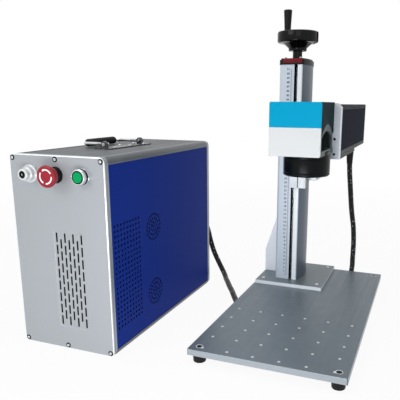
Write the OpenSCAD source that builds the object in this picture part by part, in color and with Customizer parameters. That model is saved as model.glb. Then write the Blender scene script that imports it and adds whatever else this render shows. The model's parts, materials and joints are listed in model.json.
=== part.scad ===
/* [Layout] */
// Free floor between the cabinet and the base plate
unit_gap = 139; // [60:1:400]
// How far the cabinet's front stands ahead of the base plate's front
cab_lead = 33; // [0:1:120]

/* [Cabinet] */
// Width of the cabinet
cab_w = 213; // [200:1:260]
// Depth of the cabinet
cab_d = 455; // [420:1:600]
// Height of the cabinet
cab_h = 384; // [360:1:480]
// Thickness of the front and rear plates
face_t = 5; // [4:0.5:8]
// Depth of the frame ring behind each plate
ring_d = 6.5; // [5:0.5:12]
// Radius of the cabinet's long corners
cab_r = 12; // [8:0.5:16]
// Height of the top corner rails
rail_top = 14; // [13:0.5:20]
// Height of the bottom corner rails
rail_low = 11; // [10:0.5:16]
// Thickness of the coloured side panels
panel_t = 2; // [1.5:0.1:3]

/* [Vents] */
// Columns of slots in the front vent
slot_cols = 7; // [3:1:7]
// Slots in each column of the front vent
slot_rows = 8; // [3:1:8]
// Sideways pitch of the slots
slot_pitch = 9.4; // [9:0.1:11]
// Upright pitch of the slots
slot_step = 24; // [22:0.5:26]
// Length of a slot
slot_l = 19; // [10:0.5:19]
// Width of a slot
slot_w = 3.6; // [2:0.1:4.5]
// Columns of holes in a side panel
hole_cols = 9; // [2:1:9]
// Rows of holes in a side panel
hole_rows = 21; // [4:1:21]
// Diameter of a panel hole
hole_d = 5; // [3:0.1:6]
// Rings of holes in a round vent
vent_rings = 3; // [1:1:3]

/* [Stand] */
// Width of the base plate
base_w = 300; // [280:1:400]
// Depth of the base plate
base_d = 575; // [560:1:700]
// Thickness of the base plate
base_t = 12; // [10:0.5:20]
// Height of the rubber feet
foot_h = 17; // [16:0.5:30]
// Diameter of the rubber feet
foot_d = 24; // [20:0.5:32]
// Pitch of the threaded grid
grid_pitch = 50; // [45:1:50]
// Diameter of a threaded hole
grid_hole_d = 5; // [4:0.1:8]
// Height of the column
col_h = 531; // [500:1:600]
// Depth of the column
col_d = 108; // [100:1:130]
// Width of the column's front
col_front_w = 54; // [50:0.5:60]
// Width of the column at its middle
col_mid_w = 73; // [68:0.5:78]
// Wall of the column
col_wall = 4; // [3:0.5:6]
// Width of the slot in the column
col_slot_w = 8; // [6:0.5:10]
// Diameter of the lead screw
screw_d = 12; // [10:0.5:16]
// Diameter of the hand wheel
wheel_d = 99; // [80:1:110]
// Height of the wheel's rim
rim_h = 26; // [14:0.5:32]

/* [Head] */
// Width of the beam box
box_w = 109; // [100:1:120]
// Height of the beam box
box_h = 102; // [95:1:120]
// Length of the beam box
box_l = 368; // [330:1:420]
// Underside of the beam box above the floor
box_z = 376; // [370:1:420]
// Width of the scan head
scan_w = 97; // [90:1:105]
// Depth of the scan head
scan_d = 122; // [115:1:135]
// Height of the scan head
scan_h = 98; // [94:1:110]
// Outer diameter of the lens
lens_d = 90; // [80:1:94]
// Height of the lens
lens_h = 40; // [34:0.5:50]

/* [Hose] */
// Outer diameter of the sleeved hose
hose_d = 14; // [10:0.5:15]

/* [Hidden] */

// Fineness of round shapes, the overrun of every cut, and the gaps between pieces
fn_round = 64;
fn_thread = 24;
fn_hole = 16;
cut = 1;
skin_gap = 0.3;
run_gap = 0.05;
slide_gap = 0.3;
screw_head_h = 1.6;

// Places of the two units on the floor
all_w = cab_w + unit_gap + base_w;
cab_x = -all_w / 2;
stand_x = cab_x + cab_w + unit_gap;
estop_reach = 28;
col_back = 42;
box_lead = 178;
col_y = base_d - col_back - col_d;
box_front = col_y - box_lead;
all_front = -cab_lead - estop_reach;
all_back = box_front + box_l + screw_head_h;
stand_y = -(all_front + all_back) / 2;
cab_y = stand_y - cab_lead;

// Cabinet
face_r = 12;
ring_wall = 12;
ring_gap = 0.7;
rail_tongue = 8;
side_inset = 0.8;
rail_y0 = face_t + ring_gap + ring_d;
rail_y1 = cab_d - face_t - ring_gap - ring_d;
rail_w = 14;
rail_low_r = 9;
screw_inset = 7.5;
screw_head_d = 6;
screw_shank_d = 3;
screw_len = 9;
control_drop = 36;
control_pitch = 58.5;
key_x = cab_w / 2 - control_pitch;
estop_x = cab_w / 2;
start_x = cab_w / 2 + control_pitch;
control_z = cab_h - control_drop;
panel_hole_d = 22;
vent_margin = 4;
vent_w = (slot_cols - 1) * slot_pitch + slot_w + 2 * vent_margin;
vent_h = (slot_rows - 1) * slot_step + slot_l + 2 * vent_margin;
vent_side = 88;
vent_x = cab_w - vent_side;
vent_z = 144;
vent_corner_r = 7;
vent_lip = 1.2;
grid_y = 23;
grid_z = 51;
grid_step_y = 10.5;
grid_step_z = 10.15;
round_y = 165;
round_low_z = 79;
round_high_z = 223;
round_pitch = 9;
round_count = 7;
fan_rings = 4;
fan_ring_count = 6;

// Control stations
key_flange_d = 35;
key_flange_t = 4;
key_body_d = 28;
key_body_t = 9;
key_nose_d = 22;
key_reach = 22;
key_plug_d = 14;
key_plug_l = 34;
key_post_d = 6;
key_ring_depth = 4;
key_notch = 3;
nut_d = 28;
nut_t = 5;
rear_body_l = 34;
estop_collar_d = 30;
estop_collar_t = 8;
estop_bore_d = 16;
estop_stem_d = 15.9;
estop_stem_l = 30;
estop_pin_d = 7;
estop_pin_l = 8;
estop_head_d = 41;
estop_skirt_d = 33;
estop_head_h = 15;
estop_edge = 3;
estop_dish = 1.2;
estop_dish_d = 33;
start_bezel_d = 30;
start_bezel_t = 14;
start_lip = 2;
start_cap_d = 23;
start_cap_reach = 15;
start_guide_d = 14;
start_stem_l = 22;
start_travel = 3;
start_stem_d = start_guide_d - 2 * run_gap;
start_well_d = start_cap_d + 2 * slide_gap;

// Folding handle
handle_y = cab_d / 2;
handle_shift = 2;
handle_x = cab_w / 2 + handle_shift;
handle_w = 40;
handle_l = 164;
handle_t = 2.5;
ear_t = 8;
ear_w = 13;
rod_d = 7;
arm_l = 58;
arm_span = 124;
bend_r = 8;
pivot_shift = 3.5;
pivot_rise = 9.5;
pivot_x = handle_x - pivot_shift;
pivot_z = cab_h - side_inset + pivot_rise;
pin_l = 13;
ear_y = arm_span / 2 + rod_d / 2 + ear_t / 2 + slide_gap;
grip_d = 16.5;
grip_l = 100;
handle_screw_x = 13;
handle_screw_y = 58;
handle_screw_d = 8;
handle_screw_h = 2;

// Inside the cabinet
source_side = 17.5;
source_w = cab_w - 2 * rail_w - 2 * source_side;
source_d = 250;
source_h = 70;
fin_t = 3;
fin_h = 14;
fin_count = 9;
supply_side = 50;
supply_w = source_w - supply_side;
supply_d = 200;
supply_h = 45;
board_w = source_w;
board_d = 180;
board_t = 1.6;
chip_w = 22;
chip_h = 4;
chip_x_shares = [0.17, 0.52, 0.86];
chip_y_shares = [0.14, 0.56];
post_h = 10;
post_d = 6;
post_inset = 8;
inner_y = 60;
fan_d = 92;
fan_t = 25;
fan_bore_d = 86;
fan_hub_d = 36;
fan_blade_t = 2;
fan_blades = 7;
fan_pitch = 38;
fan_blade_w = 20;
fan_x = cab_w / 2;
fan_z = 270;
fan_spoke = 8;
fan_axle_d = 6;
fan_corner_r = 5;
fan_hole_d = 4.3;
fan_hole_pitch = 82.5;
fan_bottom_t = 4;
inlet_w = 48;
inlet_h = 28;
inlet_x = 45;
inlet_z = 70;
inlet_d = 26;
inlet_flange = 3;
inlet_body_w = 40;
inlet_body_h = 24;
inlet_hole_w = 24;
inlet_hole_h = 17;
inlet_pin_w = 2;
inlet_pin_h = 4;
inlet_pin_pitch = 7;
inlet_back = 4;
gland_d = 26;
gland_l = 18;
gland_nut_d = 22;
gland_side = 45;
gland_x = cab_w - gland_side;
gland_z = 170;
gland_flange_t = 5;

// Base plate and column
foot_inset = 18;
foot_top_d = 27;
base_r = 2;
foot_screw_d = 6;
foot_cone_d = 11;
foot_cone_h = 3;
cap_screw_len = 12;
grid_cols = 6;
grid_rows = 5;
grid_x0 = (base_w - grid_pitch * (grid_cols - 1)) / 2;
grid_y0 = 15;
pad_x = 3;
pad_w = 170;
pad_d = 185;
pad_t = 8.5;
pad_screw_front = 22;
pad_screw_d = 10;
pad_screw_h = 2;
deck_z = foot_h + base_t;
pad_z = deck_z + pad_t;
col_x = 73.6;
col_mid_y = col_y + col_d / 2;
col_r = 5;
slot_x = 11.4;
bulge = (col_mid_w - col_front_w) / 2;
side_r = (col_d * col_d / 4 + bulge * bulge) / (2 * bulge);
side_steps = 20;
corner_steps = 6;
gusset_t = 8;
gusset_low = 60;
gusset_high = 158;
gusset_out = 2;
cap_over = 1.2;
cap_skirt_t = 11;
cap_lid_t = 3.5;
cap_step = 2;
trim_w = 46;
trim_t = 0.8;
trim_h = 13.5;
trim_x = 76.5;
cap_z = pad_z + col_h;
cap_top = cap_z + cap_skirt_t + cap_lid_t;
cap_screw_d = 5.5;
cap_screw_h = 2;
cap_screw_x = 18;
cap_screw_y = 40;
screw_seat = 4;
stem_d = 23;
stem_l = 20;
hub_d = 44;
hub_h = 7;
dish_h = 11.7;
rim_z = cap_top + stem_l + hub_h + dish_h;
rim_w = 13;
rim_round = 5;
spoke_count = 3;
spoke_w = 16;
spoke_t = 8;
crank_r = 40;
crank_turn = 145;
crank_boss_d = 14;
crank_gap = 5;
spindle_d = 6;
spindle_head_d = 9;
spindle_head_h = 2;
grip_low_d = 16;
grip_high_d = 20.5;
crank_l = 50;
crank_round = 2;

// Carriage
slide_drop = 98.5;
slide_z = box_z - slide_drop;
slide_h = 150;
slide_t = 12;
slide_face_y = col_y - slide_t;
slide_w = 18;
corner_w = 18;
tongue_w = col_slot_w - 2 * slide_gap;
carriage_w = 40;
carriage_h = 110;
carriage_d = 60;
carriage_drop = 76;
carriage_z = box_z - carriage_drop;
carriage_gap = 12;
carriage_y = col_y + carriage_gap;
slide_x = col_x + slot_x - tongue_w / 2 - slide_gap;
yoke_drop = 24;
yoke_z = box_z - yoke_drop;
yoke_h = 70;
yoke_t = 7;
nut_flange_d = 26;
nut_flange_t = 5;
nut_body_d = 20;
nut_body_l = 30;
bracket_t = 7.6;
bracket_drop = 64;
bracket_z = box_z - bracket_drop;
bracket_h = 128;
bracket_l = 105;
lug_l = 50;
lug_w = 27;
lug_drop = 83;
lug_z = box_z - lug_drop;
lug_back = 25;
lug_y = col_y + lug_back;

// Beam box
box_x = 119;
bracket_x = box_x - bracket_t;
box_skin_t = 1.2;
box_skin_in = 0.4;
plate_t = 7;
plate_drop = 6;
plate_over = 2;
plate_bevel = 7;
plate_y = box_front - plate_t;
box_rail = 10;
box_rail_r = 3;
box_tongue = 6;
beam_x = 149;
beam_rise = 49;
beam_z = box_z + beam_rise;
beam_d = 20;
mount_l = 198;
mount_t = 6;
expander_d = 34;
expander_l = 90;
expander_flange_d = 52;
expander_flange_t = 6;
expander_tail_d = 46;
expander_tail_l = 150;
head_screw_d = 5;
plate_screw_x = 12;
plate_screw_low = 10;
plate_screw_high = 40;
box_screw_inset = 8;
mount_screw_y = 20;
head_gland_side = 29;
head_gland_back = 40;
head_gland_x = box_x + box_w - head_gland_side;
head_gland_y = box_front + box_l - head_gland_back;
head_gland_l = 14;
head_gland_nut = 24;

// Scan head and lens
scan_x = 116;
scan_y = plate_y - scan_d;
scan_rise = 8;
scan_z = box_z + scan_rise;
scan_base_t = 10;
fascia_t = 3;
fascia_r = 4;
fascia_split = 52.5;
frame_t = 4;
cover_t = 1.6;
arch_w = 92;
arch_spring = 32;
arch_rise = 13;
arch_y = 58;
cover_arch_w = 126;
cover_arch_rise = 26;
cover_arch_y = 63;
web_side = 16;
arch_steps = 28;
lens_x = 174.5;
lens_back = 60;
lens_y = plate_y - lens_back;
lens_z = scan_z - lens_h;
lens_bevel = 2.5;
lens_neck_d = 84;
lens_neck_l = 6;
lens_wall = 5;
glass_t = 5;
glass_inset = 3;
motor_d = 24;
motor_l = 40;
motor_bar_t = 10;
motor_gap = 12;
mirror_shaft_d = 5;
mirror_shaft_l = 9;
mirror_d = 20;
mirror_t = 2;
mirror_clip = 9;

// Hose route as points from the base plate's front left corner on the floor
hose_sides = 10;
hose_path = [[-184, 426, 170], [-184, 442, 170], [-184, 457, 168], [-183, 471, 162], [-181, 483, 152],
    [-178, 492, 138], [-175, 497, 123], [-172, 498, 108], [-168, 498, 93], [-162, 496, 77],
    [-155, 494, 62], [-147, 491, 49], [-138, 487, 36], [-129, 482, 25], [-120, 475, 16], [-111, 464, 10],
    [-103, 451, 7], [-87, 424, 7], [-70, 395, 7], [-52, 366, 7], [-35, 336, 7], [-18, 307, 7],
    [-2, 279, 7], [17, 252, 7], [40, 230, 7], [68, 213, 7], [100, 205, 7], [132, 207, 7],
    [161, 221, 7], [186, 243, 7], [203, 272, 7], [213, 304, 7], [217, 337, 7], [218, 370, 7],
    [218, 405, 7], [218, 440, 7], [218, 475, 7], [218, 510, 7], [217, 540, 7], [217, 564, 7],
    [217, 583, 10], [217, 600, 20], [217, 612, 35], [216, 618, 49], [216, 620, 64], [216, 620, 80]];
hose_drop_path = [[216, 620, 80], [216, 620, 96], [215, 618, 122], [213, 614, 150], [209, 608, 180],
    [206, 602, 210], [204, 595, 240], [202, 588, 270], [200, 582, 300], [199, 577, 330],
    [199, 575, 352], [199, 575, 369]];

module at_cabinet() {
    translate([cab_x, cab_y, 0]) children();
}

module at_stand() {
    translate([stand_x, stand_y, 0]) children();
}

// A round bar along the depth, from its front end
module bar_y(d, l) {
    rotate([-90, 0, 0]) cylinder(d = d, h = l, $fn = fn_round);
}

// A round bar along the width, from its left end
module bar_x(d, l) {
    rotate([0, 90, 0]) cylinder(d = d, h = l, $fn = fn_round);
}

// A flat shape drawn in width and height, made thick along the depth
module plate_xz(t) {
    translate([0, t, 0]) rotate([90, 0, 0]) linear_extrude(t) children();
}

// A flat shape drawn in depth and height, made thick along the width
module plate_yz(t) {
    rotate([90, 0, 90]) linear_extrude(t) children();
}

// A rectangle with round corners, from its lower left corner
module round_rect(w, h, r) {
    translate([r, 0]) square([w - 2 * r, h]);
    translate([0, r]) square([w, h - 2 * r]);
    for (x = [r, w - r], y = [r, h - r]) translate([x, y]) circle(r, $fn = fn_round);
}

// A slot with round ends, centred
module round_slot(w, l) {
    square([w, l - w], center = true);
    for (s = [-1, 1]) translate([0, s * (l - w) / 2]) circle(d = w, $fn = fn_round);
}

module cap_screw(d, h, shank, l) {
    cylinder(d = d, h = h, $fn = fn_round);
    translate([0, 0, -l]) cylinder(d = shank, h = l + cut, $fn = fn_round);
}

// Places of the six screws round a cabinet plate
module at_plate_screws() {
    for (x = [screw_inset, cab_w / 2, cab_w - screw_inset])
        for (z = [screw_inset, cab_h - screw_inset]) translate([x, 0, z]) children();
}

module vent_slots() {
    for (c = [0 : slot_cols - 1])
        for (r = [0 : slot_rows - 1 - c % 2])
            translate([(c - (slot_cols - 1) / 2) * slot_pitch,
                (r - (slot_rows - 1 - c % 2) / 2) * slot_step]) round_slot(slot_w, slot_l);
}

module cabinet_front_plate() {
    color("silver") at_cabinet() {
        difference() {
            plate_xz(face_t) difference() {
                round_rect(cab_w, cab_h, face_r);
                translate([vent_x, vent_z]) vent_slots();
                for (x = [key_x, estop_x, start_x])
                    translate([x, control_z]) circle(d = panel_hole_d, $fn = fn_round);
            }
            translate([vent_x - vent_w / 2, -cut, vent_z - vent_h / 2])
                plate_xz(vent_lip + cut) round_rect(vent_w, vent_h, vent_corner_r);
            at_plate_screws() translate([0, -cut, 0]) bar_y(screw_shank_d + 2 * run_gap, face_t + 2 * cut);
        }
    }
}

module cabinet_rear_plate() {
    color("silver") at_cabinet() translate([0, cab_d - face_t, 0]) difference() {
        plate_xz(face_t) difference() {
            round_rect(cab_w, cab_h, face_r);
            translate([fan_x, fan_z]) for (r = [1 : fan_rings], a = [0 : fan_ring_count * r - 1])
                rotate(a * 360 / (fan_ring_count * r)) translate([r * round_pitch, 0])
                    circle(d = hole_d, $fn = 16);
            translate([inlet_x, inlet_z]) square([inlet_body_w, inlet_body_h], center = true);
            translate([gland_x, gland_z]) circle(d = gland_nut_d, $fn = fn_round);
        }
        at_plate_screws() translate([0, -cut, 0]) bar_y(screw_shank_d + 2 * run_gap, face_t + 2 * cut);
    }
}

module cabinet_frame_rings() {
    color("gainsboro") at_cabinet()
        for (y = [face_t + ring_gap, cab_d - face_t - ring_gap - ring_d]) translate([0, y, 0])
            difference() {
                plate_xz(ring_d) difference() {
                    round_rect(cab_w, cab_h, cab_r);
                    translate([ring_wall, ring_wall]) square([cab_w - 2 * ring_wall, cab_h - 2 * ring_wall]);
                }
                at_plate_screws() translate([0, -cut, 0])
                    bar_y(screw_shank_d + 2 * run_gap, ring_d + 2 * cut);
            }
    // Spacers that hold each plate off its ring
    color("gainsboro") at_cabinet()
        for (y = [face_t, cab_d - face_t - ring_gap]) translate([0, y, 0]) plate_xz(ring_gap)
            difference() {
                translate([ring_gap, ring_gap])
                    round_rect(cab_w - 2 * ring_gap, cab_h - 2 * ring_gap, cab_r);
                translate([ring_wall, ring_wall]) square([cab_w - 2 * ring_wall, cab_h - 2 * ring_wall]);
                for (x = [screw_inset, cab_w / 2, cab_w - screw_inset])
                    for (z = [screw_inset, cab_h - screw_inset])
                        translate([x, z]) circle(d = screw_shank_d + 2 * run_gap, $fn = fn_round);
            }
}

// Section of a corner rail with its corner at the origin and its legs along X and Y
module rail_outline(w, h, r, skin, tongue) {
    difference() {
        union() {
            translate([r, 0]) square([w - r, h]);
            translate([0, r]) square([w, h - r]);
            intersection() {
                translate([r, r]) circle(r, $fn = fn_round);
                square([r, r]);
            }
            translate([skin, h]) square([skin, tongue]);
            translate([w, skin]) square([tongue, skin]);
        }
        translate([w - skin, -cut]) square([skin, skin / 2 + cut]);
    }
}

module cabinet_corner_rails() {
    color("gray") at_cabinet() translate([0, rail_y0, 0]) {
        translate([0, 0, cab_h]) plate_xz(rail_y1 - rail_y0) mirror([0, 1])
            rail_outline(rail_w, rail_top, cab_r, panel_t + side_inset, rail_tongue);
        translate([cab_w, 0, cab_h]) mirror([1, 0, 0]) plate_xz(rail_y1 - rail_y0) mirror([0, 1])
            rail_outline(rail_w, rail_top, cab_r, panel_t + side_inset, rail_tongue);
        plate_xz(rail_y1 - rail_y0)
            rail_outline(rail_w, rail_low, rail_low_r, panel_t + side_inset, rail_tongue);
        translate([cab_w, 0, 0]) mirror([1, 0, 0]) plate_xz(rail_y1 - rail_y0)
            rail_outline(rail_w, rail_low, rail_low_r, panel_t + side_inset, rail_tongue);
    }
}

module side_holes() {
    for (c = [0 : hole_cols - 1], r = [0 : hole_rows - 1])
        translate([grid_y + c * grid_step_y, grid_z + r * grid_step_z]) circle(d = hole_d, $fn = fn_hole);
    for (z = [round_low_z, round_high_z]) translate([round_y, z]) {
        circle(d = hole_d, $fn = fn_hole);
        for (r = [1 : vent_rings], a = [0 : round_count * r - 1])
            rotate(a * 360 / (round_count * r)) translate([r * round_pitch, 0])
                circle(d = hole_d, $fn = fn_hole);
    }
}

module side_panel() {
    plate_yz(panel_t) difference() {
        translate([rail_y0, rail_low]) square([rail_y1 - rail_y0, cab_h - rail_top - rail_low]);
        side_holes();
    }
}

module cabinet_side_right() {
    color("midnightblue") at_cabinet() translate([cab_w - side_inset - panel_t, 0, 0]) side_panel();
}

module cabinet_side_left() {
    color("midnightblue") at_cabinet() translate([side_inset, 0, 0]) side_panel();
}

module cabinet_top_plate() {
    top_z = cab_h - side_inset - panel_t;
    color("dimgray") at_cabinet() translate([rail_w, rail_y0, top_z]) difference() {
        cube([cab_w - 2 * rail_w, rail_y1 - rail_y0, panel_t]);
        for (sx = [-1, 1], sy = [-1, 0, 1])
            translate([handle_x - rail_w + sx * handle_screw_x,
                handle_y - rail_y0 + sy * handle_screw_y, -cut])
                cylinder(d = screw_shank_d + 2 * run_gap, h = panel_t + 2 * cut, $fn = fn_round);
    }
}

module cabinet_bottom_plate() {
    color("gray") at_cabinet() translate([rail_w, rail_y0, side_inset])
        cube([cab_w - 2 * rail_w, rail_y1 - rail_y0, panel_t]);
}

module cabinet_screws() {
    handle_top = cab_h - side_inset + handle_t;
    color("black") at_cabinet() {
        at_plate_screws() rotate([90, 0, 0])
            cap_screw(screw_head_d, screw_head_h, screw_shank_d, screw_len);
        translate([0, cab_d, 0]) at_plate_screws() rotate([-90, 0, 0])
            cap_screw(screw_head_d, screw_head_h, screw_shank_d, screw_len);
        for (sx = [-1, 1], sy = [-1, 0, 1])
            translate([handle_x + sx * handle_screw_x, handle_y + sy * handle_screw_y, handle_top])
                cap_screw(handle_screw_d, handle_screw_h, screw_shank_d, screw_len);
    }
}

// The part of a control station that passes through the front plate, with its nut
module station_back(bore_d, l) {
    difference() {
        union() {
            bar_y(panel_hole_d - 2 * slide_gap, face_t + l);
            translate([0, face_t, 0]) bar_y(nut_d, nut_t);
        }
        translate([0, -cut, 0]) bar_y(bore_d, l);
    }
}

module key_lock_housing() {
    color("silver") at_cabinet() translate([key_x, 0, control_z]) {
        station_back(key_plug_d + 2 * run_gap, rear_body_l);
        difference() {
            union() {
                translate([0, -key_flange_t, 0]) bar_y(key_flange_d, key_flange_t);
                translate([0, -key_flange_t - key_body_t, 0]) bar_y(key_body_d, key_body_t);
                translate([0, -key_reach, 0]) bar_y(key_nose_d, key_reach - key_flange_t - key_body_t);
            }
            translate([0, -key_reach - cut, 0]) bar_y(key_plug_d + 2 * run_gap, key_reach + 2 * cut);
        }
    }
}

module key_lock_plug() {
    color("black") at_cabinet() translate([key_x, -key_reach, control_z]) {
        difference() {
            bar_y(key_plug_d, key_plug_l);
            translate([0, -cut, 0]) bar_y(key_plug_d - key_ring_depth, key_ring_depth + cut);
            translate([-key_notch / 2, -cut, key_plug_d / 2 - key_notch])
                cube([key_notch, key_ring_depth + cut, key_notch]);
        }
        bar_y(key_post_d, key_ring_depth + cut);
    }
}

module estop_housing() {
    color("black") at_cabinet() translate([estop_x, 0, control_z]) {
        station_back(estop_bore_d, rear_body_l);
        difference() {
            translate([0, -estop_collar_t, 0]) bar_y(estop_collar_d, estop_collar_t);
            translate([0, -estop_collar_t - cut, 0]) bar_y(estop_bore_d, estop_collar_t + 2 * cut);
        }
    }
}

// The plunger ends in a thin pin on which the red head twists
module estop_plunger() {
    color("gray") at_cabinet() translate([estop_x, -estop_reach + estop_head_h, control_z]) {
        bar_y(estop_stem_d, estop_stem_l);
        translate([0, -estop_pin_l, 0]) bar_y(estop_pin_d, estop_pin_l + cut);
    }
}

module estop_button() {
    color("crimson") at_cabinet() translate([estop_x, -estop_reach, control_z]) rotate([-90, 0, 0])
        rotate_extrude($fn = fn_round) difference() {
            union() {
                square([estop_head_d / 2 - estop_edge, 2 * estop_edge]);
                translate([estop_head_d / 2 - estop_edge, estop_edge]) circle(estop_edge, $fn = fn_round);
                polygon([[0, estop_edge], [estop_head_d / 2, estop_edge],
                    [estop_skirt_d / 2, estop_head_h], [0, estop_head_h]]);
            }
            translate([-cut, -cut]) square([estop_dish_d / 2 + cut, estop_dish + cut]);
            translate([-cut, estop_head_h - estop_pin_l - slide_gap])
                square([estop_pin_d / 2 + run_gap + cut, estop_pin_l + slide_gap + cut]);
            translate([-estop_head_d, -cut]) square([estop_head_d, estop_head_h + 2 * cut]);
        }
}

module start_button_housing() {
    color("silver") at_cabinet() translate([start_x, 0, control_z]) {
        station_back(start_guide_d, rear_body_l);
        difference() {
            translate([0, -start_bezel_t, 0]) bar_y(start_bezel_d, start_bezel_t);
            translate([0, -start_bezel_t - cut, 0]) bar_y(start_well_d, start_bezel_t + cut - start_lip);
            translate([0, -start_lip - cut, 0]) bar_y(start_guide_d, start_lip + 2 * cut);
        }
    }
}

module start_button_cap() {
    color("green") at_cabinet() translate([start_x, -start_cap_reach, control_z]) {
        bar_y(start_cap_d, start_cap_reach - start_lip - start_travel - slide_gap);
        bar_y(start_stem_d, start_stem_l);
    }
}

module handle_plate() {
    color("dimgray") at_cabinet() translate([handle_x, handle_y, cab_h - side_inset]) {
        difference() {
            translate([-handle_w / 2, -handle_l / 2, 0]) cube([handle_w, handle_l, handle_t]);
            for (sx = [-1, 1], sy = [-1, 0, 1])
                translate([sx * handle_screw_x, sy * handle_screw_y, -cut])
                    cylinder(d = screw_shank_d + 2 * run_gap, h = handle_t + 2 * cut, $fn = fn_round);
        }
        for (s = [-1, 1]) translate([pivot_x - handle_x, s * ear_y - ear_t / 2, 0]) difference() {
            union() {
                translate([-ear_w / 2, 0, 0]) cube([ear_w, ear_t, pivot_z - cab_h + side_inset]);
                translate([0, 0, pivot_z - cab_h + side_inset]) bar_y(ear_w, ear_t);
            }
            translate([0, -cut, pivot_z - cab_h + side_inset]) bar_y(rod_d + 2 * run_gap, ear_t + 2 * cut);
        }
    }
}

// A quarter bend of the bail's rod, from its centre, turned by a
module rod_bend(a) {
    rotate([0, 0, a]) rotate_extrude(angle = 90, $fn = fn_round) translate([bend_r, 0])
        circle(d = rod_d, $fn = fn_round);
}

module handle_bail() {
    color("silver") at_cabinet() translate([pivot_x, handle_y, pivot_z]) {
        for (s = [-1, 1]) mirror([0, s < 0 ? 1 : 0, 0]) {
            translate([0, arm_span / 2 - rod_d / 2, 0]) bar_y(rod_d, pin_l + rod_d / 2);
            translate([-arm_l + bend_r, arm_span / 2, 0]) bar_x(rod_d, arm_l - bend_r);
            translate([-arm_l + bend_r, arm_span / 2 - bend_r, 0]) rod_bend(90);
        }
        translate([-arm_l, -arm_span / 2 + bend_r, 0]) bar_y(rod_d, arm_span - 2 * bend_r);
    }
}

module handle_grip() {
    color("black") at_cabinet() translate([pivot_x - arm_l, handle_y - grip_l / 2, pivot_z]) difference() {
        bar_y(grip_d, grip_l);
        translate([0, -cut, 0]) bar_y(rod_d + 2 * run_gap, grip_l + 2 * cut);
    }
}

module laser_source() {
    floor_z = side_inset + panel_t;
    color("dimgray") at_cabinet() translate([cab_w / 2 - source_w / 2, inner_y, floor_z]) {
        cube([source_w, source_d, source_h]);
        for (i = [0 : fin_count - 1])
            translate([i * (source_w - fin_t) / (fin_count - 1), 0, source_h])
                cube([fin_t, source_d, fin_h]);
    }
}

// The supply stands on the source's fins and carries the control board on four posts
module power_supply() {
    shelf_z = side_inset + panel_t + source_h + fin_h;
    color("silver") at_cabinet() translate([cab_w / 2 - source_w / 2, inner_y, shelf_z])
        cube([supply_w, supply_d, supply_h]);
    color("green") at_cabinet() translate([cab_w / 2 - source_w / 2, inner_y, shelf_z + supply_h]) {
        for (x = [post_inset, supply_w - post_inset], y = [post_inset, board_d - post_inset])
            translate([x, y, 0]) cylinder(d = post_d, h = post_h, $fn = fn_round);
        translate([0, 0, post_h]) cube([board_w, board_d, board_t]);
        for (x = chip_x_shares, y = chip_y_shares)
            translate([x * (board_w - chip_w), y * (board_d - chip_w), post_h + board_t])
                cube([chip_w, chip_w, chip_h]);
    }
}

module rear_fan_frame() {
    color("black") at_cabinet() translate([fan_x, cab_d - face_t - fan_t, fan_z]) difference() {
        translate([-fan_d / 2, 0, -fan_d / 2]) plate_xz(fan_t) round_rect(fan_d, fan_d, fan_corner_r);
        translate([0, fan_bottom_t, 0]) bar_y(fan_bore_d, fan_t);
        for (a = [45, 135, 225, 315]) rotate([0, a, 0]) translate([fan_bore_d / 4, -cut, 0])
            bar_y(fan_bore_d / 2 - 2 * fan_spoke, fan_bottom_t + 2 * cut);
        for (sx = [-1, 1], sz = [-1, 1]) translate([sx * fan_hole_pitch / 2, -cut, sz * fan_hole_pitch / 2])
            bar_y(fan_hole_d, fan_t + 2 * cut);
        translate([0, -cut, 0]) bar_y(fan_axle_d + 2 * run_gap, fan_bottom_t + 2 * cut);
    }
}

module rear_fan_rotor() {
    color("black") at_cabinet() translate([fan_x, cab_d - face_t - fan_t, fan_z]) {
        translate([0, fan_bottom_t + skin_gap, 0]) bar_y(fan_hub_d, fan_t - fan_bottom_t - 2 * skin_gap);
        bar_y(fan_axle_d, fan_t / 2);
        intersection() {
            for (i = [0 : fan_blades - 1]) rotate([0, i * 360 / fan_blades, 0])
                translate([0, fan_t / 2 + fan_bottom_t / 2, fan_hub_d / 2 - cut]) rotate([0, 0, fan_pitch])
                    translate([-fan_blade_w / 2, -fan_blade_t / 2, 0])
                        cube([fan_blade_w, fan_blade_t, fan_d / 2]);
            bar_y(fan_bore_d - 2 * fan_blade_t, fan_t);
        }
    }
}

module mains_inlet() {
    color("black") at_cabinet() translate([inlet_x, cab_d, inlet_z]) {
        difference() {
            union() {
                translate([-inlet_w / 2, 0, -inlet_h / 2]) cube([inlet_w, inlet_flange, inlet_h]);
                translate([slide_gap - inlet_body_w / 2, -inlet_d, slide_gap - inlet_body_h / 2])
                    cube([inlet_body_w - 2 * slide_gap, inlet_d + cut, inlet_body_h - 2 * slide_gap]);
            }
            translate([-inlet_hole_w / 2, -inlet_d + inlet_back, -inlet_hole_h / 2])
                cube([inlet_hole_w, inlet_d + inlet_flange, inlet_hole_h]);
        }
        for (x = [-inlet_pin_pitch, 0, inlet_pin_pitch])
            translate([x - inlet_pin_w / 2, -inlet_d + inlet_back - cut, -inlet_pin_h / 2])
                cube([inlet_pin_w, inlet_d - inlet_back, inlet_pin_h]);
    }
}

module cabinet_gland() {
    color("black") at_cabinet() translate([gland_x, cab_d, gland_z]) difference() {
        union() {
            translate([0, -face_t - nut_t, 0]) bar_y(gland_nut_d - 2 * slide_gap, face_t + nut_t + cut);
            bar_y(gland_d, gland_flange_t);
            bar_y(gland_nut_d, gland_l);
            translate([0, -face_t - nut_t, 0]) bar_y(nut_d, nut_t);
        }
        translate([0, gland_l - hose_d, 0]) bar_y(hose_d + 2 * run_gap, hose_d + cut);
    }
}

// The rear left foot hangs on the foot plate's screw, the other three on their own
module at_foot_screws() {
    for (p = [[foot_inset, foot_inset], [base_w - foot_inset, foot_inset],
        [base_w - foot_inset, base_d - foot_inset]]) translate(p) children();
}

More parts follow.
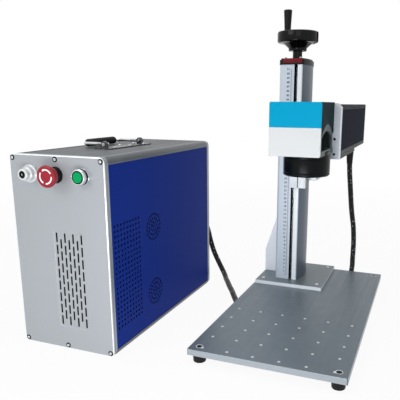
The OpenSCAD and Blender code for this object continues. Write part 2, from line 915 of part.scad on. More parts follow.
module at_pad_screws() {
    for (x = [foot_inset, 2 * pad_x + pad_w - foot_inset])
        for (y = [base_d - pad_d + pad_screw_front, base_d - foot_inset]) translate([x, y, 0]) children();
}

module base_plate() {
    color("slategray") at_stand() translate([0, 0, foot_h]) difference() {
        linear_extrude(base_t) difference() {
            round_rect(base_w, base_d, base_r);
            for (c = [0 : grid_cols - 1], r = [0 : grid_rows - 1])
                translate([grid_x0 + c * grid_pitch, grid_y0 + r * grid_pitch])
                    circle(d = grid_hole_d, $fn = fn_thread);
        }
        at_foot_screws() translate([0, 0, -cut])
            cylinder(d = foot_screw_d + 2 * run_gap, h = base_t + 2 * cut, $fn = fn_round);
        at_foot_screws() translate([0, 0, base_t - foot_cone_h - skin_gap / 2])
            cylinder(d1 = foot_screw_d, d2 = foot_cone_d + skin_gap,
                h = foot_cone_h + skin_gap / 2, $fn = fn_round);
        at_pad_screws() translate([0, 0, -cut])
            cylinder(d = foot_screw_d + 2 * run_gap, h = base_t + 2 * cut, $fn = fn_round);
    }
}

module base_feet() {
    color("black") at_stand()
        for (x = [foot_inset, base_w - foot_inset], y = [foot_inset, base_d - foot_inset])
            translate([x, y, 0]) difference() {
                cylinder(d1 = foot_d, d2 = foot_top_d, h = foot_h, $fn = fn_round);
                translate([0, 0, foot_h - base_t / 2])
                    cylinder(d = foot_screw_d + 2 * run_gap, h = base_t, $fn = fn_round);
            }
}

module stand_screws() {
    color("dimgray") at_stand() {
        at_foot_screws() translate([0, 0, deck_z - foot_cone_h]) {
            cylinder(d1 = foot_screw_d, d2 = foot_cone_d - 2 * skin_gap,
                h = foot_cone_h - skin_gap, $fn = fn_round);
            translate([0, 0, -base_t]) cylinder(d = foot_screw_d, h = base_t + skin_gap, $fn = fn_round);
        }
        at_pad_screws() translate([0, 0, pad_z])
            cap_screw(pad_screw_d, pad_screw_h, foot_screw_d, pad_t + base_t - run_gap);
        for (s = [-1, 1], t = [-1, 1])
            translate([col_x + s * cap_screw_x, col_mid_y + t * cap_screw_y, cap_top])
                cap_screw(cap_screw_d, cap_screw_h, screw_shank_d, cap_lid_t);
    }
}

module column_foot_plate() {
    color("slategray") at_stand() translate([0, 0, deck_z]) difference() {
        translate([pad_x, base_d - pad_d, 0]) cube([pad_w, pad_d, pad_t]);
        at_pad_screws() translate([0, 0, -cut])
            cylinder(d = foot_screw_d + 2 * run_gap, h = pad_t + 2 * cut, $fn = fn_round);
        translate([col_x, col_mid_y, pad_t - screw_seat])
            cylinder(d = screw_d + 2 * run_gap, h = screw_seat + cut, $fn = fn_round);
    }
}

// Points of an arc about (x, y) in n steps, without its first and last ones where skip is 1
function arc(x, y, r, a0, a1, n, skip) = [for (i = [skip : n - skip])
    [x + r * cos(a0 + (a1 - a0) * i / n), y + r * sin(a0 + (a1 - a0) * i / n)]];

// Right half of the column's barrel section, shrunk by g all round
function barrel_half(g) = let (r = max(col_r - g, run_gap), arc_x = col_mid_w / 2 - side_r,
    arc_r = side_r - g, corner_y = col_d / 2 - g - r,
    corner_x = arc_x + sqrt(pow(arc_r - r, 2) - pow(corner_y, 2)), turn = asin(corner_y / (arc_r - r)))
    concat(arc(corner_x, -corner_y, r, -90, -turn, corner_steps, 0),
        arc(arc_x, 0, arc_r, -turn, turn, side_steps, 1),
        arc(corner_x, corner_y, r, turn, 90, corner_steps, 0));

module column_outline(g) {
    half = barrel_half(g);
    polygon(concat(half, [for (p = half) -p]));
}

module column() {
    color("lightsteelblue") at_stand() translate([col_x, col_mid_y, pad_z]) linear_extrude(col_h)
        difference() {
            column_outline(0);
            column_outline(col_wall);
            translate([slot_x - col_slot_w / 2, -col_d]) square([col_slot_w, col_d]);
        }
}

module column_gusset() {
    side_x = col_x - col_mid_w / 2 - run_gap;
    color("gainsboro") at_stand() translate([0, col_mid_y - gusset_t / 2, pad_z]) plate_xz(gusset_t)
        polygon([[pad_x, 0], [side_x, 0], [side_x, gusset_high], [side_x - gusset_out, gusset_high],
            [pad_x, gusset_low]]);
}

module column_cap() {
    color("black") at_stand() translate([col_x, col_mid_y, cap_z]) difference() {
        union() {
            linear_extrude(cap_skirt_t) column_outline(-cap_over);
            translate([0, 0, cap_skirt_t]) linear_extrude(cap_lid_t) column_outline(cap_step);
        }
        translate([0, 0, -cut])
            cylinder(d = screw_d + 2 * run_gap, h = cap_skirt_t + cap_lid_t + 2 * cut, $fn = fn_round);
        for (s = [-1, 1], t = [-1, 1]) translate([s * cap_screw_x, t * cap_screw_y, cap_skirt_t])
            cylinder(d = screw_shank_d + 2 * run_gap, h = cap_lid_t + cut, $fn = fn_round);
    }
}

module column_cap_trim() {
    color("firebrick") at_stand() translate([trim_x - trim_w / 2, col_y - cap_over - trim_t, cap_z])
        cube([trim_w, trim_t, trim_h]);
}

// The screw turns in its seat in the foot plate and in the cap
module lead_screw() {
    color("silver") at_stand() translate([col_x, col_mid_y, pad_z - screw_seat + slide_gap])
        cylinder(d = screw_d, h = rim_z - pad_z + screw_seat - slide_gap, $fn = fn_round);
}

module handwheel() {
    spoke_l = wheel_d / 2 - rim_w;
    color("black") at_stand() translate([col_x, col_mid_y, 0]) difference() {
        union() {
            translate([0, 0, cap_top + slide_gap]) cylinder(d = stem_d, h = stem_l, $fn = fn_round);
            translate([0, 0, cap_top + stem_l]) cylinder(d = hub_d, h = hub_h, $fn = fn_round);
            translate([0, 0, cap_top + stem_l])
                cylinder(d = stem_d, h = rim_z - cap_top - stem_l + rim_h, $fn = fn_round);
            translate([0, 0, rim_z]) rotate_extrude($fn = fn_round) translate([wheel_d / 2 - rim_w, 0])
                round_rect(rim_w, rim_h, rim_round);
            for (i = [0 : spoke_count - 1]) rotate(crank_turn + i * 360 / spoke_count)
                translate([0, -spoke_w / 2, rim_z]) cube([spoke_l + rim_w / 2, spoke_w, spoke_t]);
            rotate(crank_turn) translate([crank_r, 0, rim_z + rim_h / 2])
                cylinder(d = crank_boss_d, h = rim_h / 2 + crank_gap, $fn = fn_round);
            translate([0, 0, cap_top + stem_l + hub_h])
                cylinder(d1 = hub_d, d2 = 2 * spoke_l + rim_w, h = dish_h + rim_round, $fn = fn_round);
        }
        translate([0, 0, cap_top]) cylinder(d = screw_d + 2 * run_gap, h = rim_z - cap_top, $fn = fn_round);
        rotate(crank_turn) translate([crank_r, 0, rim_z + rim_h / 2])
            cylinder(d = spindle_d + 2 * run_gap, h = rim_h, $fn = fn_round);
    }
}

module crank_spindle() {
    color("silver") at_stand() translate([col_x, col_mid_y, 0]) rotate(crank_turn)
        translate([crank_r, 0, rim_z + rim_h / 2]) {
            cylinder(d = spindle_d, h = rim_h / 2 + crank_gap + crank_l + slide_gap, $fn = fn_round);
            translate([0, 0, rim_h / 2 + crank_gap + slide_gap + crank_l - spindle_head_h])
                cylinder(d = spindle_head_d, h = spindle_head_h, $fn = fn_round);
        }
}

module crank_grip() {
    color("black") at_stand() translate([col_x, col_mid_y, 0]) rotate(crank_turn)
        translate([crank_r, 0, rim_z + rim_h + crank_gap + slide_gap]) rotate_extrude($fn = fn_round)
            difference() {
                polygon([[0, 0], [grip_low_d / 2, 0], [grip_high_d / 2, crank_l - crank_round],
                    [grip_high_d / 2 - crank_round, crank_l], [0, crank_l]]);
                translate([-cut, -cut]) square([spindle_d / 2 + run_gap + cut, crank_l + 2 * cut]);
                translate([-cut, crank_l - spindle_head_h - slide_gap])
                    square([spindle_head_d / 2 + slide_gap + cut, spindle_head_h + slide_gap + cut]);
            }
}

// The carriage slides inside the column and carries the nut
module inner_carriage() {
    color("gray") at_stand() difference() {
        translate([col_x - carriage_w / 2, carriage_y, carriage_z])
            cube([carriage_w, carriage_d + nut_body_d, carriage_h]);
        translate([col_x, col_mid_y, carriage_z - cut])
            cylinder(d = nut_body_d + 2 * run_gap, h = nut_body_l + cut, $fn = fn_round);
        translate([col_x, col_mid_y, carriage_z])
            cylinder(d = screw_d + 2 * slide_gap, h = carriage_h + cut, $fn = fn_round);
    }
}

module lead_nut() {
    color("goldenrod") at_stand() translate([col_x, col_mid_y, carriage_z]) difference() {
        union() {
            cylinder(d = nut_body_d, h = nut_body_l, $fn = fn_round);
            translate([0, 0, -nut_flange_t]) cylinder(d = nut_flange_d, h = nut_flange_t, $fn = fn_round);
        }
        translate([0, 0, -nut_flange_t - cut])
            cylinder(d = screw_d + 2 * run_gap, h = nut_body_l + nut_flange_t + 2 * cut, $fn = fn_round);
    }
}

// The bar over the slot, its tongue to the inner carriage, and the yoke behind the head
module slide_block() {
    color("gainsboro") at_stand() {
        translate([slide_x, slide_face_y, slide_z])
            cube([slide_w, col_y - slide_gap - slide_face_y, slide_h]);
        translate([col_x + slot_x - tongue_w / 2, col_y - slide_gap - cut, carriage_z])
            cube([tongue_w, carriage_y - col_y + slide_gap + cut, carriage_h]);
        translate([slide_x, slide_face_y - yoke_t, yoke_z]) cube([box_x - slide_x, yoke_t, yoke_h]);
    }
}

// The block beside the slide, the plate along the column and the lug under the beam box
module head_bracket() {
    color("silver") at_stand() {
        translate([box_x - corner_w, slide_face_y, slide_z])
            cube([corner_w, col_y - slide_gap - slide_face_y, slide_h]);
        translate([bracket_x, col_y - slide_gap - cut, bracket_z]) cube([bracket_t, bracket_l, bracket_h]);
        translate([bracket_x, lug_y, lug_z]) cube([lug_w, lug_l, box_z - lug_z]);
    }
}

module box_plate_outline(h, bevel) {
    polygon([[0, 0], [box_w, 0], [box_w, h - bevel], [box_w - bevel, h], [bevel, h], [0, h - bevel]]);
}

module beam_box_front_plate() {
    plate_z = box_z - plate_drop;
    color("silver") at_stand() translate([box_x, plate_y, plate_z]) difference() {
        plate_xz(plate_t) box_plate_outline(box_h + plate_drop + plate_over, plate_bevel);
        translate([beam_x - box_x, -cut, beam_z - plate_z]) bar_y(beam_d, plate_t + 2 * cut);
        for (z = [plate_screw_low, plate_screw_high]) translate([box_w - plate_screw_x, -cut, z])
            bar_y(screw_shank_d + 2 * run_gap, plate_t + 2 * cut);
    }
}

module beam_box_rails() {
    rail_l = box_l - plate_t;
    color("gray") at_stand() translate([box_x, box_front, box_z])
        for (sx = [0, 1], sz = [0, 1])
            translate([sx * box_w, 0, sz * box_h]) mirror([sx, 0, 0]) mirror([0, 0, sz])
                plate_xz(rail_l)
                    rail_outline(box_rail, box_rail, box_rail_r, box_skin_in + box_skin_t, box_tongue);
}

module beam_box_panels() {
    color("midnightblue") at_stand() for (x = [box_skin_in, box_w - box_skin_in - box_skin_t])
        translate([box_x + x, box_front, box_z + box_rail])
            cube([box_skin_t, box_l - plate_t, box_h - 2 * box_rail]);
}

// Top and bottom sheets and the rear plate
module beam_box_covers() {
    color("dimgray") at_stand() translate([box_x, box_front, box_z]) difference() {
        for (z = [box_skin_in, box_h - box_skin_in - box_skin_t])
            translate([box_rail, 0, z]) cube([box_w - 2 * box_rail, box_l - plate_t, box_skin_t]);
        translate([head_gland_x - box_x, head_gland_y - box_front, -cut])
            cylinder(d = gland_nut_d, h = box_skin_in + box_skin_t + 2 * cut, $fn = fn_round);
    }
    color("silver") at_stand() translate([box_x, box_front + box_l - plate_t, box_z]) difference() {
        plate_xz(plate_t) round_rect(box_w, box_h, box_rail_r);
        at_box_corners() translate([0, -cut, 0]) bar_y(screw_shank_d + 2 * run_gap, plate_t + 2 * cut);
    }
}

module beam_box_mount_plate() {
    color("silver") at_stand() translate([box_x, box_front, box_z - mount_t])
        cube([box_w, mount_l, mount_t]);
}

module at_box_corners() {
    for (x = [box_screw_inset, box_w - box_screw_inset], z = [box_screw_inset, box_h - box_screw_inset])
        translate([x, 0, z]) children();
}

module at_front_screws() {
    for (z = [plate_screw_low, plate_screw_high])
        translate([box_x + box_w - plate_screw_x, plate_y, box_z - plate_drop + z]) children();
}

module head_screws() {
    color("black") at_stand() {
        at_front_screws() rotate([90, 0, 0])
            cap_screw(head_screw_d, screw_head_h, screw_shank_d, plate_t - run_gap);
        translate([box_x, box_front + box_l, box_z]) at_box_corners() rotate([-90, 0, 0])
            cap_screw(head_screw_d, screw_head_h, screw_shank_d, plate_t - run_gap);
    }
}

module head_gland() {
    color("black") at_stand() translate([head_gland_x, head_gland_y, box_z]) difference() {
        union() {
            translate([0, 0, -head_gland_l])
                cylinder(d = gland_nut_d - 2 * slide_gap, h = head_gland_l + nut_t, $fn = fn_round);
            translate([0, 0, box_skin_in - gland_flange_t])
                cylinder(d = head_gland_nut, h = gland_flange_t, $fn = fn_round);
        }
        translate([0, 0, -head_gland_l - cut])
            cylinder(d = hose_d + 2 * run_gap, h = hose_d / 2 + cut, $fn = fn_round);
    }
}

module beam_expander() {
    color("dimgray") at_stand() translate([beam_x, box_front, beam_z]) difference() {
        union() {
            bar_y(expander_flange_d, expander_flange_t);
            bar_y(expander_d, expander_l);
            translate([0, expander_l, 0]) bar_y(expander_tail_d, expander_tail_l);
        }
        translate([0, -cut, 0]) bar_y(beam_d, expander_l);
    }
}

// An arch with straight feet and a round crown, centred on its foot line
module arch(w, spring, rise) {
    r = (w * w / 4 + rise * rise) / (2 * rise);
    turn = asin(w / 2 / r);
    crown = arc(0, spring + rise - r, r, 90 - turn, 90 + turn, arch_steps, 0);
    polygon(concat([[-w / 2, 0], [w / 2, 0]], crown));
}

module scan_frame() {
    inner_w = scan_w - 2 * cover_t;
    frame_d = scan_d - fascia_t;
    color("gray") at_stand() translate([scan_x + cover_t, scan_y + fascia_t, scan_z]) difference() {
        union() {
            translate([-cover_t, 0, 0]) cube([scan_w, frame_d, scan_base_t]);
            for (x = [0, inner_w - frame_t]) translate([x, 0, 0]) plate_yz(frame_t) difference() {
                square([frame_d, scan_h - cover_t]);
                translate([arch_y, scan_base_t]) arch(arch_w, arch_spring - scan_base_t, arch_rise);
            }
            translate([0, frame_d - frame_t, 0]) cube([inner_w, frame_t, scan_h - cover_t]);
        }
        translate([lens_x - scan_x - cover_t, lens_y - scan_y - fascia_t, -cut])
            cylinder(d = lens_neck_d - 2 * lens_wall, h = scan_base_t + 2 * cut, $fn = 2 * fn_round);
        translate([lens_x - scan_x - cover_t, lens_y - scan_y - fascia_t, -cut])
            cylinder(d = lens_neck_d + 2 * run_gap, h = lens_neck_l + cut, $fn = 2 * fn_round);
        translate([beam_x - scan_x - cover_t, frame_d - frame_t - cut, beam_z - scan_z])
            bar_y(beam_d, frame_t + 2 * cut);
    }
}

module scan_cover() {
    cover_d = scan_d - fascia_t;
    color("darkslategray") at_stand() translate([scan_x, scan_y + fascia_t, scan_z]) {
        for (x = [0, scan_w - cover_t]) translate([x, 0, 0]) plate_yz(cover_t) difference() {
            translate([0, scan_base_t]) square([cover_d, scan_h - scan_base_t]);
            translate([cover_arch_y, 0]) arch(cover_arch_w, arch_spring, cover_arch_rise);
        }
        translate([cover_t, 0, scan_h - cover_t]) cube([scan_w - 2 * cover_t, cover_d, cover_t]);
    }
}

module fascia_part(z0, z1) {
    at_stand() translate([scan_x, scan_y, scan_z]) plate_xz(fascia_t) intersection() {
        round_rect(scan_w, scan_h, fascia_r);
        translate([0, z0]) square([scan_w, z1 - z0]);
    }
}

module scan_fascia_upper() {
    color("deepskyblue") fascia_part(fascia_split, scan_h);
}

module scan_fascia_lower() {
    color("white") fascia_part(0, fascia_split);
}

// Both mirror motors in their clamp, whose bar spans the frame's side plates
module scan_motors() {
    bar_w = scan_w - 2 * cover_t - 2 * frame_t;
    bar_y0 = lens_y - motor_d;
    bar_z = beam_z + motor_gap + mirror_d / 2;
    web_y = lens_y + motor_gap + mirror_d / 2;
    color("silver") at_stand() difference() {
        union() {
            translate([scan_x + cover_t + frame_t, bar_y0, bar_z])
                cube([bar_w, plate_y - frame_t - bar_y0, motor_bar_t]);
            translate([beam_x, lens_y, bar_z])
                cylinder(d = motor_d, h = motor_l - motor_bar_t, $fn = fn_round);
            translate([beam_x - web_side, web_y, scan_z + scan_base_t])
                cube([lens_x - beam_x + 2 * web_side, motor_bar_t, bar_z - scan_z - scan_base_t]);
            translate([lens_x, web_y, beam_z]) bar_y(motor_d, plate_y - frame_t - web_y - motor_bar_t / 2);
        }
        translate([beam_x, lens_y, bar_z - cut])
            cylinder(d = mirror_shaft_d + 2 * run_gap, h = mirror_shaft_l + cut, $fn = fn_round);
        translate([lens_x, web_y - cut, beam_z]) bar_y(mirror_shaft_d + 2 * run_gap, mirror_shaft_l + cut);
        translate([beam_x, web_y - cut, beam_z]) bar_y(beam_d / 2, motor_bar_t + 2 * cut);
    }
}

// A mirror on its shaft, which runs up the Z axis from the mirror's middle, facing the angle a
module mirror_on_shaft(a) {
    shaft_z = motor_gap + mirror_d / 2;
    rotate([a, 90, 0]) translate([0, 0, -mirror_t / 2]) cylinder(d = mirror_d, h = mirror_t, $fn = fn_round);
    translate([0, 0, mirror_clip]) cylinder(d = mirror_shaft_d,
        h = shaft_z - mirror_clip + mirror_shaft_l - slide_gap, $fn = fn_round);
    translate([0, 0, mirror_clip - mirror_t]) cylinder(d = mirror_clip, h = 2 * mirror_t, $fn = fn_round);
}

module mirror_x() {
    color("lightgray") at_stand() translate([beam_x, lens_y, beam_z]) mirror_on_shaft(-45);
}

module mirror_y() {
    color("lightgray") at_stand() translate([lens_x, lens_y, beam_z]) rotate([-90, 0, 0]) mirror_on_shaft(45);
}

module lens_barrel() {
    color("black") at_stand() translate([lens_x, lens_y, lens_z]) rotate_extrude($fn = 2 * fn_round)
        difference() {
            union() {
                polygon([[0, 0], [lens_d / 2 - lens_bevel, 0], [lens_d / 2, lens_bevel],
                    [lens_d / 2, lens_h], [0, lens_h]]);
                square([lens_neck_d / 2, lens_h + lens_neck_l - slide_gap]);
            }
            translate([-cut, -cut])
                square([lens_neck_d / 2 - lens_wall + cut, lens_h + lens_neck_l + 2 * cut]);
        }
}

module lens_glass() {
    glass_d = lens_neck_d - 2 * lens_wall - 2 * run_gap;
    color("powderblue") at_stand() translate([lens_x, lens_y, 0]) {
        translate([0, 0, lens_z + glass_inset]) cylinder(d = glass_d, h = glass_t, $fn = fn_round);
        translate([0, 0, lens_z + lens_h - glass_inset]) cylinder(d = glass_d, h = glass_t, $fn = fn_round);
    }
}

// Rings of a tube that keep square to the route, each carried on from the last
function unit(v) = v / norm(v);
function route_dir(p, i) = unit(p[min(i + 1, len(p) - 1)] - p[max(i - 1, 0)]);
function across(v, t) = unit(v - (v * t) * t);
function ring_side(p, i) = across(i == 0 ? [1, 0, 0] : ring_side(p, i - 1), route_dir(p, i));
function tube_points(p, r, k) = [for (i = [0 : len(p) - 1])
    let (t = route_dir(p, i), n = ring_side(p, i), b = cross(t, n))
    for (j = [0 : k - 1]) p[i] + r * (cos(360 * j / k) * n + sin(360 * j / k) * b)];
function tube_faces(m, k) = concat([[for (j = [0 : k - 1]) j]],
    [for (i = [0 : m - 2], j = [0 : k - 1], h = [0, 1]) h == 0
        ? [i * k + j, (i + 1) * k + j, i * k + (j + 1) % k]
        : [i * k + (j + 1) % k, (i + 1) * k + j, (i + 1) * k + (j + 1) % k]],
    [[for (j = [k - 1 : -1 : 0]) (m - 1) * k + j]]);

module tube(p, d, k) {
    polyhedron(points = tube_points(p, d / 2, k), faces = tube_faces(len(p), k));
}

module hose_floor() {
    color("black") at_stand() tube(hose_path, hose_d, hose_sides);
}

module hose_drop() {
    color("black") at_stand() tube(hose_drop_path, hose_d, hose_sides);
}

cabinet_front_plate();
cabinet_rear_plate();
cabinet_frame_rings();
cabinet_corner_rails();
cabinet_side_right();
cabinet_side_left();
cabinet_top_plate();
cabinet_bottom_plate();
cabinet_screws();
key_lock_housing();
key_lock_plug();
estop_housing();
estop_plunger();
estop_button();
start_button_housing();
start_button_cap();
handle_plate();
handle_bail();
handle_grip();
laser_source();
power_supply();
rear_fan_frame();
rear_fan_rotor();
mains_inlet();
cabinet_gland();
base_plate();
base_feet();
stand_screws();
column_foot_plate();
column();
column_gusset();
column_cap();
column_cap_trim();
lead_screw();
handwheel();
crank_spindle();
crank_grip();
inner_carriage();
lead_nut();
slide_block();
head_bracket();
beam_box_front_plate();
beam_box_rails();
beam_box_panels();
beam_box_covers();
beam_box_mount_plate();
head_screws();
head_gland();
beam_expander();
scan_frame();
scan_cover();
scan_fascia_upper();
scan_fascia_lower();
scan_motors();
mirror_x();
mirror_y();
lens_barrel();
lens_glass();
hose_floor();
hose_drop();
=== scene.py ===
import json
import math

import bmesh
import bpy
from mathutils import Matrix, Vector

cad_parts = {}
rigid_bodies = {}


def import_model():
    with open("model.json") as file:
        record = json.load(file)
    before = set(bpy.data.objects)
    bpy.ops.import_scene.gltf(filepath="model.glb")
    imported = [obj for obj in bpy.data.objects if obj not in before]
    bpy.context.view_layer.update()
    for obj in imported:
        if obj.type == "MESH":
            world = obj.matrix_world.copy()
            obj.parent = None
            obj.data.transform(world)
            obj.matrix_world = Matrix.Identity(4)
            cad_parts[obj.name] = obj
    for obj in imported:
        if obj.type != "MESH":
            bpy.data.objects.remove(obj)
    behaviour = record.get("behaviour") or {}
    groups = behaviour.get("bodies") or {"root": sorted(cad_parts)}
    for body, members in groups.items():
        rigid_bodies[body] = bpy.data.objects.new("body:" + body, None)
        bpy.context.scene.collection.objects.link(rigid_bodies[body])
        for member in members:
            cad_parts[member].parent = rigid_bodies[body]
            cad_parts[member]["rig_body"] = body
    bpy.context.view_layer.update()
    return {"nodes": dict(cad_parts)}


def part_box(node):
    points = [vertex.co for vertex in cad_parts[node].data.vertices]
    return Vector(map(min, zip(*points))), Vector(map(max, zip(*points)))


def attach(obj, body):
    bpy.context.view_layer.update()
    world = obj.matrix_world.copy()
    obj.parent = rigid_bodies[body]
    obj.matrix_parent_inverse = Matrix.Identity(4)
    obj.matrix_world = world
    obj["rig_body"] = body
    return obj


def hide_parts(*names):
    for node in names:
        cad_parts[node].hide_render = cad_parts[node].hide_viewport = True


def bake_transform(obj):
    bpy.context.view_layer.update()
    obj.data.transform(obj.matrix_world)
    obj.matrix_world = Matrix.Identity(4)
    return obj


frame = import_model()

# Looks of a bench laser marking machine: a cabinet on the left, and a stand with its scan head on the right.
# Places are in millimetres from the front left corner of the cabinet or of the base plate, z from the floor.

MM = 0.001
UP = Vector((0, 0, 1))
FORWARD = Vector((0, -1, 0))
BACKWARD = Vector((0, 1, 0))
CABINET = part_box("cabinet_front_plate")[0]
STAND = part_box("base_plate")[0]
CABINET_SIZE = (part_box("cabinet_rear_plate")[1] - CABINET) / MM
FULL_TURN = 2 * math.pi


def on_cabinet(x, y, z):
    return Vector((CABINET.x + x * MM, CABINET.y + y * MM, z * MM))


def on_stand(x, y, z):
    return Vector((STAND.x + x * MM, STAND.y + y * MM, z * MM))


def middle(node):
    low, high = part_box(node)
    return (low + high) / 2


# Camera

PHOTO_SIDE = 400
FOCAL_PX = 507.93
CENTRE_PX = (239.36, 220.03)
SENSOR_MM = 36.0
EYE = Vector((0.42286, -1.06370, 0.47876))
VIEW = Vector((-0.34068, 0.91311, -0.22399))
ROLL = math.radians(0.361)


def add_camera():
    data = bpy.data.cameras.new("camera")
    data.sensor_width = SENSOR_MM
    data.lens = FOCAL_PX / PHOTO_SIDE * SENSOR_MM
    data.shift_x = 0.5 - CENTRE_PX[0] / PHOTO_SIDE
    data.shift_y = CENTRE_PX[1] / PHOTO_SIDE - 0.5
    ahead = VIEW.normalized()
    right = ahead.cross(UP).normalized()
    above = right.cross(ahead)
    across = right * math.cos(ROLL) + above * math.sin(ROLL)
    over = above * math.cos(ROLL) - right * math.sin(ROLL)
    camera = bpy.data.objects.new("camera", data)
    camera.matrix_world = Matrix.Translation(EYE) @ Matrix((across, over, -ahead)).transposed().to_4x4()
    bpy.context.scene.collection.objects.link(camera)
    bpy.context.scene.camera = camera


add_camera()


# Shader effects that several finishes share

def feed(tree, target, given):
    """Gives an input another node's output, or a plain value."""
    if hasattr(given, "is_output"):
        tree.links.new(given, target)
    else:
        target.default_value = given


def shader_node(tree, kind, *given, operation=None, **named):
    """A shader node whose inputs are given in order or by name, as plain values or other nodes' outputs."""
    made = tree.nodes.new("ShaderNode" + kind)
    if operation:
        made.operation = operation
    for i, value in enumerate(given):
        if value is not None:
            feed(tree, made.inputs[i], value)
    for name, value in named.items():
        feed(tree, made.inputs[name], value)
    return made


def number(tree, kind, a, b=None):
    return shader_node(tree, "Math", a, b, operation=kind).outputs[0]


def ranged(tree, value, low, high, to_low, to_high):
    return shader_node(tree, "MapRange", value, low, high, to_low, to_high).outputs["Result"]


def tint(tree, a, b, amount):
    """Colour a turned towards colour b by an amount."""
    mix = tree.nodes.new("ShaderNodeMix")
    mix.data_type = "RGBA"
    for place, given in ((0, amount), (6, a), (7, b)):
        feed(tree, mix.inputs[place], given)
    return mix.outputs[2]


def shared_effect(name, inputs, outputs):
    """A node group with inputs, each of a kind and a value, and outputs; gives the group and both ends."""
    group = bpy.data.node_groups.new(name, "ShaderNodeTree")
    for label, kind, value in inputs:
        made = group.interface.new_socket(label, in_out="INPUT", socket_type="NodeSocket" + kind)
        made.default_value = value
    for label, kind in outputs:
        group.interface.new_socket(label, in_out="OUTPUT", socket_type="NodeSocket" + kind)
    return group, group.nodes.new("NodeGroupInput").outputs, group.nodes.new("NodeGroupOutput").inputs


def mask_noise(group, scale, detail, low, high, to_low):
    """A patchy mask from noise over the piece."""
    place = shader_node(group, "TexCoord").outputs["Object"]
    noise = shader_node(group, "TexNoise", Vector=place, Scale=scale, Detail=detail)
    return ranged(group, noise.outputs["Fac"], low, high, to_low, 1.0)


def mottle_group():
    """Uneven tone from broad clouds and fine grains, which the stretch draws out into a grain."""
    group, given, made = shared_effect(
        "mottle", (("Colour", "Color", (0.5, 0.5, 0.5, 1)), ("Spread", "Float", 0.1),
                   ("Scale", "Float", 300.0), ("Stretch", "Vector", (1, 1, 1))),
        (("Colour", "Color"), ("Grain", "Float")))
    place = shader_node(group, "TexCoord").outputs["Object"]
    drawn = shader_node(group, "VectorMath", place, given["Stretch"], operation="MULTIPLY").outputs[0]
    grain = shader_node(group, "TexNoise", Vector=drawn, Scale=given["Scale"], Detail=4).outputs["Fac"]
    cloud = shader_node(group, "TexNoise", Vector=place, Scale=9, Detail=3).outputs["Fac"]
    centred = number(group, "SUBTRACT", number(group, "ADD", grain, cloud), 1.0)
    factor = number(group, "ADD", number(group, "MULTIPLY", centred, given["Spread"]), 1.0)
    lit = shader_node(group, "VectorMath", given["Colour"], operation="SCALE", Scale=factor)
    feed(group, made["Colour"], lit.outputs[0])
    feed(group, made["Grain"], grain)
    return group


def worn_edge_group():
    """A mask of the thin line along outer edges where a finish rubs thin."""
    group, given, made = shared_effect("worn_edge", (("Width", "Float", 0.0008), ("Amount", "Float", 0.5)),
                                       (("Mask", "Float"),))
    rounded = shader_node(group, "Bevel", Radius=given["Width"])
    rounded.samples = 4
    true = shader_node(group, "NewGeometry").outputs["Normal"]
    match = shader_node(group, "VectorMath", rounded.outputs[0], true, operation="DOT_PRODUCT")
    off = number(group, "SUBTRACT", 1.0, match.outputs["Value"])
    edge = ranged(group, off, 0.02, 0.16, 0.0, 1.0)
    worn = number(group, "MULTIPLY", edge, mask_noise(group, 60, 5, 0.42, 0.62, 0.0))
    feed(group, made["Mask"], number(group, "MULTIPLY", worn, given["Amount"]))
    return group


def dust_group():
    """A mask of the thin dust that settles on what faces up."""
    group, given, made = shared_effect("dust", (("Amount", "Float", 0.1),), (("Mask", "Float"),))
    parts = shader_node(group, "SeparateXYZ", shader_node(group, "NewGeometry").outputs["Normal"])
    upward = ranged(group, parts.outputs["Z"], 0.5, 1.0, 0.0, 1.0)
    settled = number(group, "MULTIPLY", upward, mask_noise(group, 35, 8, 0.35, 0.75, 0.2))
    feed(group, made["Mask"], number(group, "MULTIPLY", settled, given["Amount"]))
    return group


MOTTLE = mottle_group()
WORN_EDGE = worn_edge_group()
DUST = dust_group()


# Finishes

def tone(red, green, blue):
    """A colour as the eye reads it, 0 to 255, in the linear values that a shader takes."""
    def line(value):
        share = value / 255
        return share / 12.92 if share <= 0.04045 else ((share + 0.055) / 1.055) ** 2.4
    return (line(red), line(green), line(blue), 1.0)


def effect(material, group, **values):
    made = material.node_tree.nodes.new("ShaderNodeGroup")
    made.node_tree = group
    for name, value in values.items():
        made.inputs[name].default_value = value
    return made.outputs


def finish(name, colour, rough, metallic=0.0, spread=0.08, scale=300.0, bump=0.1, stretch=(1, 1, 1),
           rough_spread=0.08, specular=0.5, worn=0.0, worn_colour=(0.62, 0.63, 0.65, 1), dust=0.0,
           **shader_values):
    """A material: its colour with mottle, worn edges and dust, and its roughness and bump from the grain."""
    material = bpy.data.materials.new(name)
    material.use_nodes = True
    tree = material.node_tree
    inputs = tree.nodes["Principled BSDF"].inputs
    inputs["Metallic"].default_value = metallic
    inputs["Specular IOR Level"].default_value = specular
    for key, value in shader_values.items():
        inputs[key.replace("_", " ")].default_value = value
    mottle = effect(material, MOTTLE, Colour=tone(*colour), Spread=spread, Scale=scale, Stretch=stretch)
    shown = mottle["Colour"]
    if worn:
        shown = tint(tree, shown, worn_colour, effect(material, WORN_EDGE, Amount=worn)["Mask"])
    if dust:
        shown = tint(tree, shown, DUST_TONE, effect(material, DUST, Amount=dust)["Mask"])
    feed(tree, inputs["Base Color"], shown)
    low, high = max(rough - rough_spread, 0.02), min(rough + rough_spread, 1.0)
    feed(tree, inputs["Roughness"], ranged(tree, mottle["Grain"], 0.3, 0.7, low, high))
    if bump:
        relief = shader_node(tree, "Bump", Strength=bump, Distance=BUMP_DEPTH, Height=mottle["Grain"])
        feed(tree, inputs["Normal"], relief.outputs[0])
    return material


BUMP_DEPTH = 0.00005
DUST_TONE = tone(200, 200, 196)
ALONG_Y = (1, 0.02, 1)
ALONG_Z = (1, 1, 0.02)
ALONG_X = (0.02, 1, 1)

